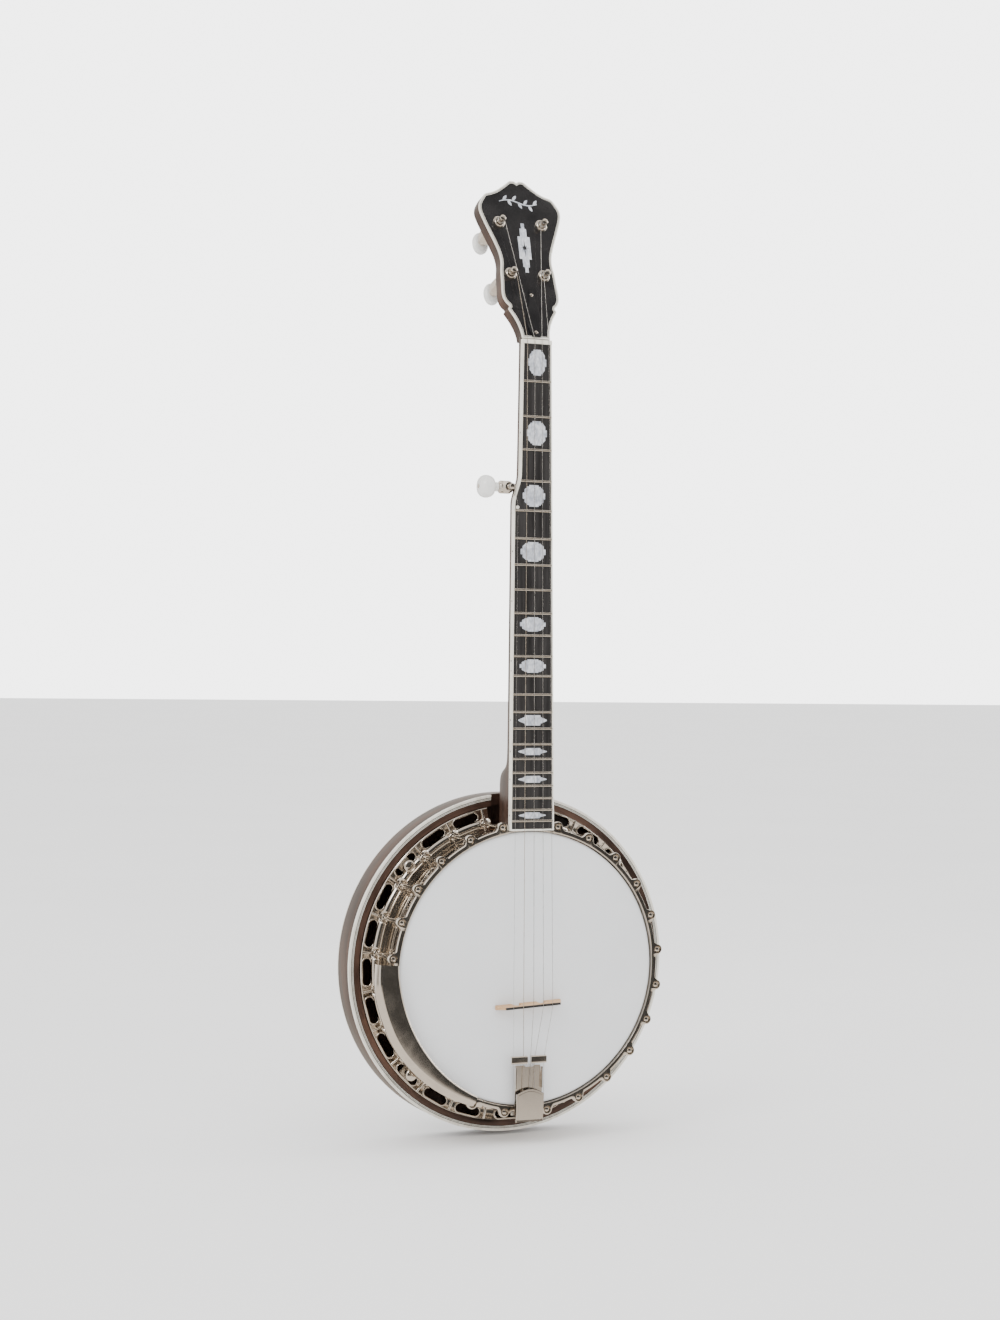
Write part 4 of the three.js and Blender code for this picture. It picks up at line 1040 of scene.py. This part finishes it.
def build_flange():
    start, stop = 90 + 9.9, 450 - 9.9
    steps = 1120
    sections = []
    for k in range(steps + 1):
        degrees = start + (stop - start) * k / steps
        gap = min(angle_gap(degrees, hook) for hook in HOOKS)
        rise = smooth((gap - 0.9) / 1.5)
        section = [(139.8, 46.2), (142.8, 46.2)]
        for i in range(9):
            angle = math.pi * i / 8
            section.append((148.2 - 5.0 * math.cos(angle), 46.2 - (0.8 + 4.4 * rise) * math.sin(angle)))
        section += [(154.2, 46.2), (161.6, 46.2), (162.5, 45.7), (163.4, 45.7), (163.9, 46.3), (163.9, 49.2),
                    (153, 49.2), (148, 47.4), (143, 49.2), (139.8, 49.2)]
        sections.append(section)
    shape = sweep(sections, lambda k, r, y: around(start + (stop - start) * k / steps, r, y))
    plate = piece("flange_plate", shape, NICKEL, stands_for=("flange",), sharp=50)
    cutters, rims = [], []
    for middle in slot_middles():
        outline = slot_outline(middle, 27.5, 8.8)
        cutters.append(prism(outline, lambda r, a: around(a, r, 40), lambda r, a: around(a, r, 55)))
        rims.append(tube([around(a, r, 46.0) for r, a in slot_outline(middle, 29, 10.2, 12)], 0.85, 8, True))
    carve(plate, merged(*cutters))
    ribs = []
    for hook in HOOKS:
        ribs.append(tube([around(hook, r, 46.3 - 1.0 * math.sin(math.pi * (r - 141) / 24)) for r in range(141,
                                                                                                          165,
                                                                                                          2)],
                                                                                                          1.3,
                                                                                                          8))
        ribs.append(turned(around(hook, 148, 0), (0, -1, 0),
                           [(3.6, -46.4), (3.6, -44.6), (3.1, -44.0), (2.1, -43.8)], 20))
    piece("flange_beads", merged(*rims, *ribs), NICKEL, sharp=50)
    inner = rounded([(139.8, 22.5), (140.6, 22.5), (140.6, 46.0), (139.8, 46.0)], 0.2)
    piece("rim_sleeve", arc_ring(inner, start, stop, 240), NICKEL)


# ---------------------------------------------------------------- armrest
ARMREST = ((176, 145.5, 165, 168), (185, 143, 165, 168.6), (195, 141.3, 162.8, 166), (205, 140, 161, 164.6),
           (215, 139, 157, 161), (225, 138.8, 152.8, 157.5), (235, 138.8, 149.2, 153.8),
           (245, 138.8, 146.4, 149.5))


def armrest_row(degrees):
    for low, high in zip(ARMREST, ARMREST[1:]):
        if degrees <= high[0]:
            t = (degrees - low[0]) / (high[0] - low[0])
            return [lerp(a, b, t) for a, b in zip(low[1:], high[1:])]
    return list(ARMREST[-1][1:])


def build_armrest():
    steps = 140
    sections = []
    for k in range(steps + 1):
        degrees = lerp(176, 245, k / steps)
        rows = [armrest_row(min(max(degrees + d, 176), 245)) for d in (-4, -2, 0, 2, 4)]
        inner, shoulder, outer = (sum(row[i] for row in rows) / 5 for i in range(3))
        line = rounded([(inner, -12.6), (inner + 0.2, -13.8), (inner + 2.2, -14.5), (shoulder - 1.5, -14.5),
                        (shoulder + 0.4, -13.4), (outer, -8.6), (outer, -4.6)], 1.4, 3, closed=False)
        under = [(r - 0.75, y + 1.0) for r, y in line]
        sections.append(line + list(reversed(under)))
    shape = sweep(sections, lambda k, r, y: around(lerp(176, 245, k / steps), r, y))
    piece("armrest_plate", shape, NICKEL, stands_for=("armrest",), sharp=50)
    strap = rounded([(150.4, 14), (152.2, 14), (152.2, 24), (150.4, 24)], 0.5)
    parts = [arc_ring(strap, 188.5, 231.8, 60)]
    for angle in (195.7, 224.6):
        leg = rounded([(149.4, -12.2), (150.8, -12.2), (152, 16), (150.5, 16)], 0.4)
        parts.append(arc_ring(leg, angle - 2.5, angle + 2.5, 8))
    for angle in (191.5, 211.2, 228.5):
        parts.append(turned(around(angle, 152, 19), around(angle, 1, 0) - around(angle, 0, 0),
                            [(3.4, 0), (3.4, 1.8), (2.9, 2.2), (2.0, 2.3), (1.8, 3.6), (0, 3.8)], 6))
    piece("armrest_clamp", merged(*parts), NICKEL, stands_for=("armrest_bracket",), sharp=35)


# ---------------------------------------------------------------- tailpiece
def plate_shape(outline, y_low, y_high):
    return prism(outline, lambda x, z: at(x, y_high, z), lambda x, z: at(x, y_low, z))


def sloped_plate(outline, front, back, start):
    """A plate whose face leans a little, so that it mirrors the light from below."""
    return prism(outline, lambda x, z: at(x, back, z), lambda x, z: at(x, front - (z - start) * 0.03, z))


def build_tailpiece():
    body = [(-15, -151), (15, -151), (15, -122), (12.8, -104), (12.2, -97.5), (5.2, -97.5), (4.6, -99),
            (-4.6, -99), (-5.2, -97.5), (-15.2, -97.5), (-15.4, -104), (-15, -122)]
    piece("tailpiece_plate", sloped_plate(body, -8.4, -6.5, -97), NICKEL, stands_for=("tailpiece_body",),
          bevel=0.4)
    parts = []
    for x0, x1, l0, l1 in ((-21.5, -3.4, -17, -8), (0.4, 17.5, 4, 12.5)):
        profile = rounded([(-11.6, -95.4), (-12.6, -94.2), (-12.6, -88.4), (-11.6, -87.3), (-9.0, -87.2),
                           (-9.0, -88.4), (-10.8, -89.0), (-10.8, -94.6)], 0.5)
        parts.append(sweep([profile, profile], lambda k, y, z, e=(x0, x1): at(e[k], y, z)))
        slope = [(-12.4, -93.0), (-11.2, -93.0), (-10.9, -97), (-9.0, -101), (-8.4, -121), (-9.6, -121),
                 (-10.5, -100.4), (-12.2, -96.5)]
        parts.append(sweep([slope, slope], lambda k, y, z, e=(l0, l1): at(e[k], y, z)))
    tab = rounded([(-6.6, -98.5), (2.4, -98.5), (2.4, -121), (-6.6, -121)], 1.0)
    parts.append(sloped_plate(tab, -10.7, -8.8, -98.5))
    rails = [plate_shape([(x - 0.6, -99), (x + 0.6, -99), (x + 0.6, -121), (x - 0.6, -121)], -11.2,
                         -8.0) for x in (-15.4, 13.4)]
    fingers = piece("tailpiece_fingers", merged(*parts, *rails), NICKEL, bevel=0.3)
    carve(fingers, merged(turned(at(-2.1, 0, -104), (0, -1, 0), [(1.3, 5), (1.3, 14)], 20),
                          block(-2.8, -1.4, -14, -5, -109, -104)))

    lid = [(-14.9, -155.4), (15.1, -155.4), (15.5, -126.4)]
    for k in range(1, 12):
        t = k / 12
        lid.append((lerp(15.5, -15.3, t), -126.4 + 5.2 * math.sin(math.pi * t)))
    lid.append((-15.3, -126.4))
    panel = inset(lid, 2.4)
    piece("tailpiece_cover_plate", sloped_plate(lid, -12.15, -10.4, -121), NICKEL, body="tailpiece_cover",
          stands_for=("tailpiece_lid",), bevel=0.45)
    piece("tailpiece_cover_panel", sloped_plate(panel, -12.55, -10.8, -121), NICKEL, body="tailpiece_cover",
          bevel=0.3)
    knuckle = turned(at(-14.6, -9.4, -153.6), (1, 0, 0), [(1.9, 0), (1.9, 29.4)], 24)
    web = plate_shape([(-14.4, -155.2), (14.6, -155.2), (14.6, -153), (-14.4, -153)], -11.6, -9.6)
    piece("tailpiece_cover_hinge", merged(knuckle, web), NICKEL, body="tailpiece_cover")
    bracket = merged(block(-9, 9, -6, -4.2, -148.5, -112), block(-9, 9, -6, 38, -148.5, -146.7))
    piece("tailpiece_hanger", bracket, NICKEL, stands_for=("tailpiece_bracket",), bevel=0.5)


# ---------------------------------------------------------------- resonator
def notch():
    return block(-22.5, 22.5, 40, 57, 150, 190)


def build_resonator():
    body = "resonator"
    wall = rounded([(164.3, 48.3), (170.3, 48.3), (170.3, 51.4), (175.8, 51.4), (175.8, 80.2), (164.3, 80.2)],
                   0.3)
    shell = piece("resonator_shell", arc_ring(wall), WALL_WOOD, body=body, stands_for=("resonator_wall",))
    carve(shell, notch())
    white = merged(arc_ring(rounded([(173.1, 48.3), (175.9, 48.3), (175.9, 51.3), (173.1, 51.3)], 0.35)),
                   arc_ring([(171.9, 48.35), (172.45, 48.35), (172.45, 51.2), (171.9, 51.2)]),
                   arc_ring([(170.8, 48.35), (171.35, 48.35), (171.35, 51.2), (170.8, 51.2)]))
    black = merged(arc_ring([(172.45, 48.32), (173.1, 48.32), (173.1, 51.2), (172.45, 51.2)]),
                   arc_ring([(171.35, 48.32), (171.9, 48.32), (171.9, 51.2), (171.35, 51.2)]),
                   arc_ring([(170.3, 48.32), (170.8, 48.32), (170.8, 51.2), (170.3, 51.2)]))
    carve(piece("resonator_edging", white, IVOROID, body=body, stands_for=("resonator_front_binding",)),
          notch())
    carve(piece("resonator_edging_lines", black, BLACK_LINE, body=body), notch())
    side_line = arc_ring([(175.5, 51.35), (175.87, 51.35), (175.87, 51.75), (175.5, 51.75)])
    carve(piece("resonator_side_line", side_line, BLACK_LINE, body=body), notch())
    rear = rounded([(171, 80.3), (175.9, 80.3), (175.6, 82.4), (174.2, 84.4), (172.4, 85), (171, 85)], 0.7)
    piece("resonator_rear_edging", arc_ring(rear), IVOROID, body=body, stands_for=("resonator_back_binding",))
    rear_line = arc_ring([(170.2, 80.4), (171, 80.4), (171, 85.05), (170.2, 85.05)])
    piece("resonator_rear_line", rear_line, BLACK_LINE, body=body)
    arch = [(0, 92.4), (70, 91.4), (125, 87.2), (163, 80.5), (170.1, 80.5), (170.1, 85.0)]
    for k in range(1, 25):
        r = lerp(170.1, 45, k / 24)
        t = (r - 45) / 125.1
        arch.append((r, 97 - 12 * t ** 1.9))
    arch += [(20, 97), (0, 97)]
    piece("resonator_rear", turned(at(0, 0, 0), (0, 1, 0), arch, 240), BACK_WOOD, body=body,
          stands_for=("resonator_back",), sharp=50)
    for number, degrees in enumerate(THUMBSCREWS, 1):
        build_thumbscrew(number, degrees)


def build_thumbscrew(number, degrees):
    base = around(degrees, 155.6, 0)
    knob = turned(base, (0, 1, 0), [(0, 33.9), (2.6, 34), (4.6, 34.5), (5.9, 35.4), (6.3, 36.4), (6.35, 39.6),
                                    (6.0, 40.4), (4.4, 40.9), (3.3, 42.0), (2.3, 42.8), (2.0, 43.4),
                                    (2.0, 60.6), (1.4, 61), (0, 61)], 40)
    piece(f"thumbscrew_{number}_turned", knob, NICKEL, body=f"thumbscrew_{number}_body",
          stands_for=(f"thumbscrew_{number}",))


def finish_cad_nodes():
    looks = {"truss_rod": STEEL, "coordinator_rod_front": NICKEL_SATIN, "coordinator_rod_back": NICKEL_SATIN}
    for number in range(1, 5):
        looks[f"resonator_lug_{number}"] = NICKEL_SATIN
    for node, material in looks.items():
        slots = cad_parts[node].data.materials
        slots.clear()
        slots.append(material)


# ---------------------------------------------------------------- studio
def plain_light(nodes, strength):
    made = nodes.new("ShaderNodeBackground")
    made.inputs["Color"].default_value = (1, 1, 1, 1)
    made.inputs["Strength"].default_value = strength
    return made.outputs["Background"]


def studio_world():
    world = bpy.data.worlds.new("studio")
    bpy.context.scene.world = world
    world.use_nodes = True
    tree = world.node_tree
    nodes, links = tree.nodes, tree.links
    background = nodes["Background"]
    coordinate = nodes.new("ShaderNodeTexCoord")
    ramp = nodes.new("ShaderNodeValToRGB")
    split = nodes.new("ShaderNodeSeparateXYZ")
    links.new(coordinate.outputs["Generated"], split.inputs["Vector"])
    depth = nodes.new("ShaderNodeMapRange")
    depth.inputs["From Min"].default_value = -1.0
    links.new(split.outputs["Y"], depth.inputs["Value"])
    links.new(depth.outputs["Result"], ramp.inputs["Fac"])
    below = nodes.new("ShaderNodeMapRange")
    below.inputs["From Min"].default_value = -0.205
    below.inputs["From Max"].default_value = -0.26
    links.new(split.outputs["Z"], below.inputs["Value"])
    lit = nodes.new("ShaderNodeMix")
    lit.data_type = "RGBA"
    links.new(below.outputs["Result"], lit.inputs["Factor"])
    links.new(ramp.outputs["Color"], lit.inputs[6])
    lit.inputs[7].default_value = (1.15, 1.05, 0.93, 1)
    stops = ((0.0, 0.07), (0.13, 0.05), (0.18, 0.35), (0.25, 1.5), (0.34, 0.2), (0.42, 1.9), (0.55, 0.4),
             (0.7, 1.6), (1.0, 1.3))
    elements = ramp.color_ramp.elements
    while len(elements) < len(stops):
        elements.new(0.5)
    for element, (position, level) in zip(elements, stops):
        element.position = position
        element.color = (level, level * 0.95, level * 0.88, 1)
    links.new(lit.outputs[2], background.inputs["Color"])
    path = nodes.new("ShaderNodeLightPath")
    shader = plain_light(nodes, 2.05)
    for ray, seen in (("Is Glossy Ray", background.outputs["Background"]),
                      ("Is Camera Ray", plain_light(nodes, 4.6))):
        mix = nodes.new("ShaderNodeMixShader")
        links.new(path.outputs[ray], mix.inputs["Fac"])
        links.new(shader, mix.inputs[1])
        links.new(seen, mix.inputs[2])
        shader = mix.outputs["Shader"]
    links.new(shader, nodes["World Output"].inputs["Surface"])


def area_light(name, place, target, size, power, colour=(1, 1, 1)):
    data = bpy.data.lights.new(name, "AREA")
    data.shape = "RECTANGLE"
    data.size, data.size_y = size
    data.energy = power
    data.color = colour
    made = bpy.data.objects.new(name, data)
    bpy.context.scene.collection.objects.link(made)
    made.location = place
    made.rotation_euler = (Vector(target) - Vector(place)).to_track_quat("-Z", "Y").to_euler()
    return made


def studio_floor():
    low = CAD_BOX[0][2] - 0.004
    corners = [(-20, -20), (20, -20), (20, 20), (-20, 20)]
    mesh = bpy.data.meshes.new("studio_floor")
    mesh.from_pydata([(x, y, low) for x, y in corners], [], [[0, 1, 2, 3]])
    paper = Shader("studio_paper")
    cloud = paper.noise(paper.coordinates((2, 2, 2)), 1.0, 4)
    paper.set("Base Color", paper.ramp(cloud, (0.3, (0.90, 0.90, 0.90)), (0.7, (0.92, 0.92, 0.92))))
    paper.set("Roughness", paper.span(cloud, 0.85, 0.95))
    mesh.materials.append(paper.material)
    floor = bpy.data.objects.new("studio_floor", mesh)
    bpy.context.scene.collection.objects.link(floor)
    floor.visible_glossy = False


def build_studio():
    studio_world()
    studio_floor()
    middle = at(0, 0, 200)
    area_light("key", (-2.2, -1.2, 1.6), middle, (1.2, 1.6), 34, (1, 0.98, 0.95))
    area_light("side", (2.1, -0.3, 0.3), middle, (0.5, 1.8), 14, (1, 0.97, 0.93))


build_neck()
build_fingerboard()
build_inlays()
build_peghead()
for number, (x, s) in enumerate(TUNERS, 1):
    build_tuner(number, x, s)
build_fifth_tuner()
build_strings()
build_bridge()
build_drum()
build_armrest()
build_tailpiece()
build_resonator()
finish_cad_nodes()
build_studio()
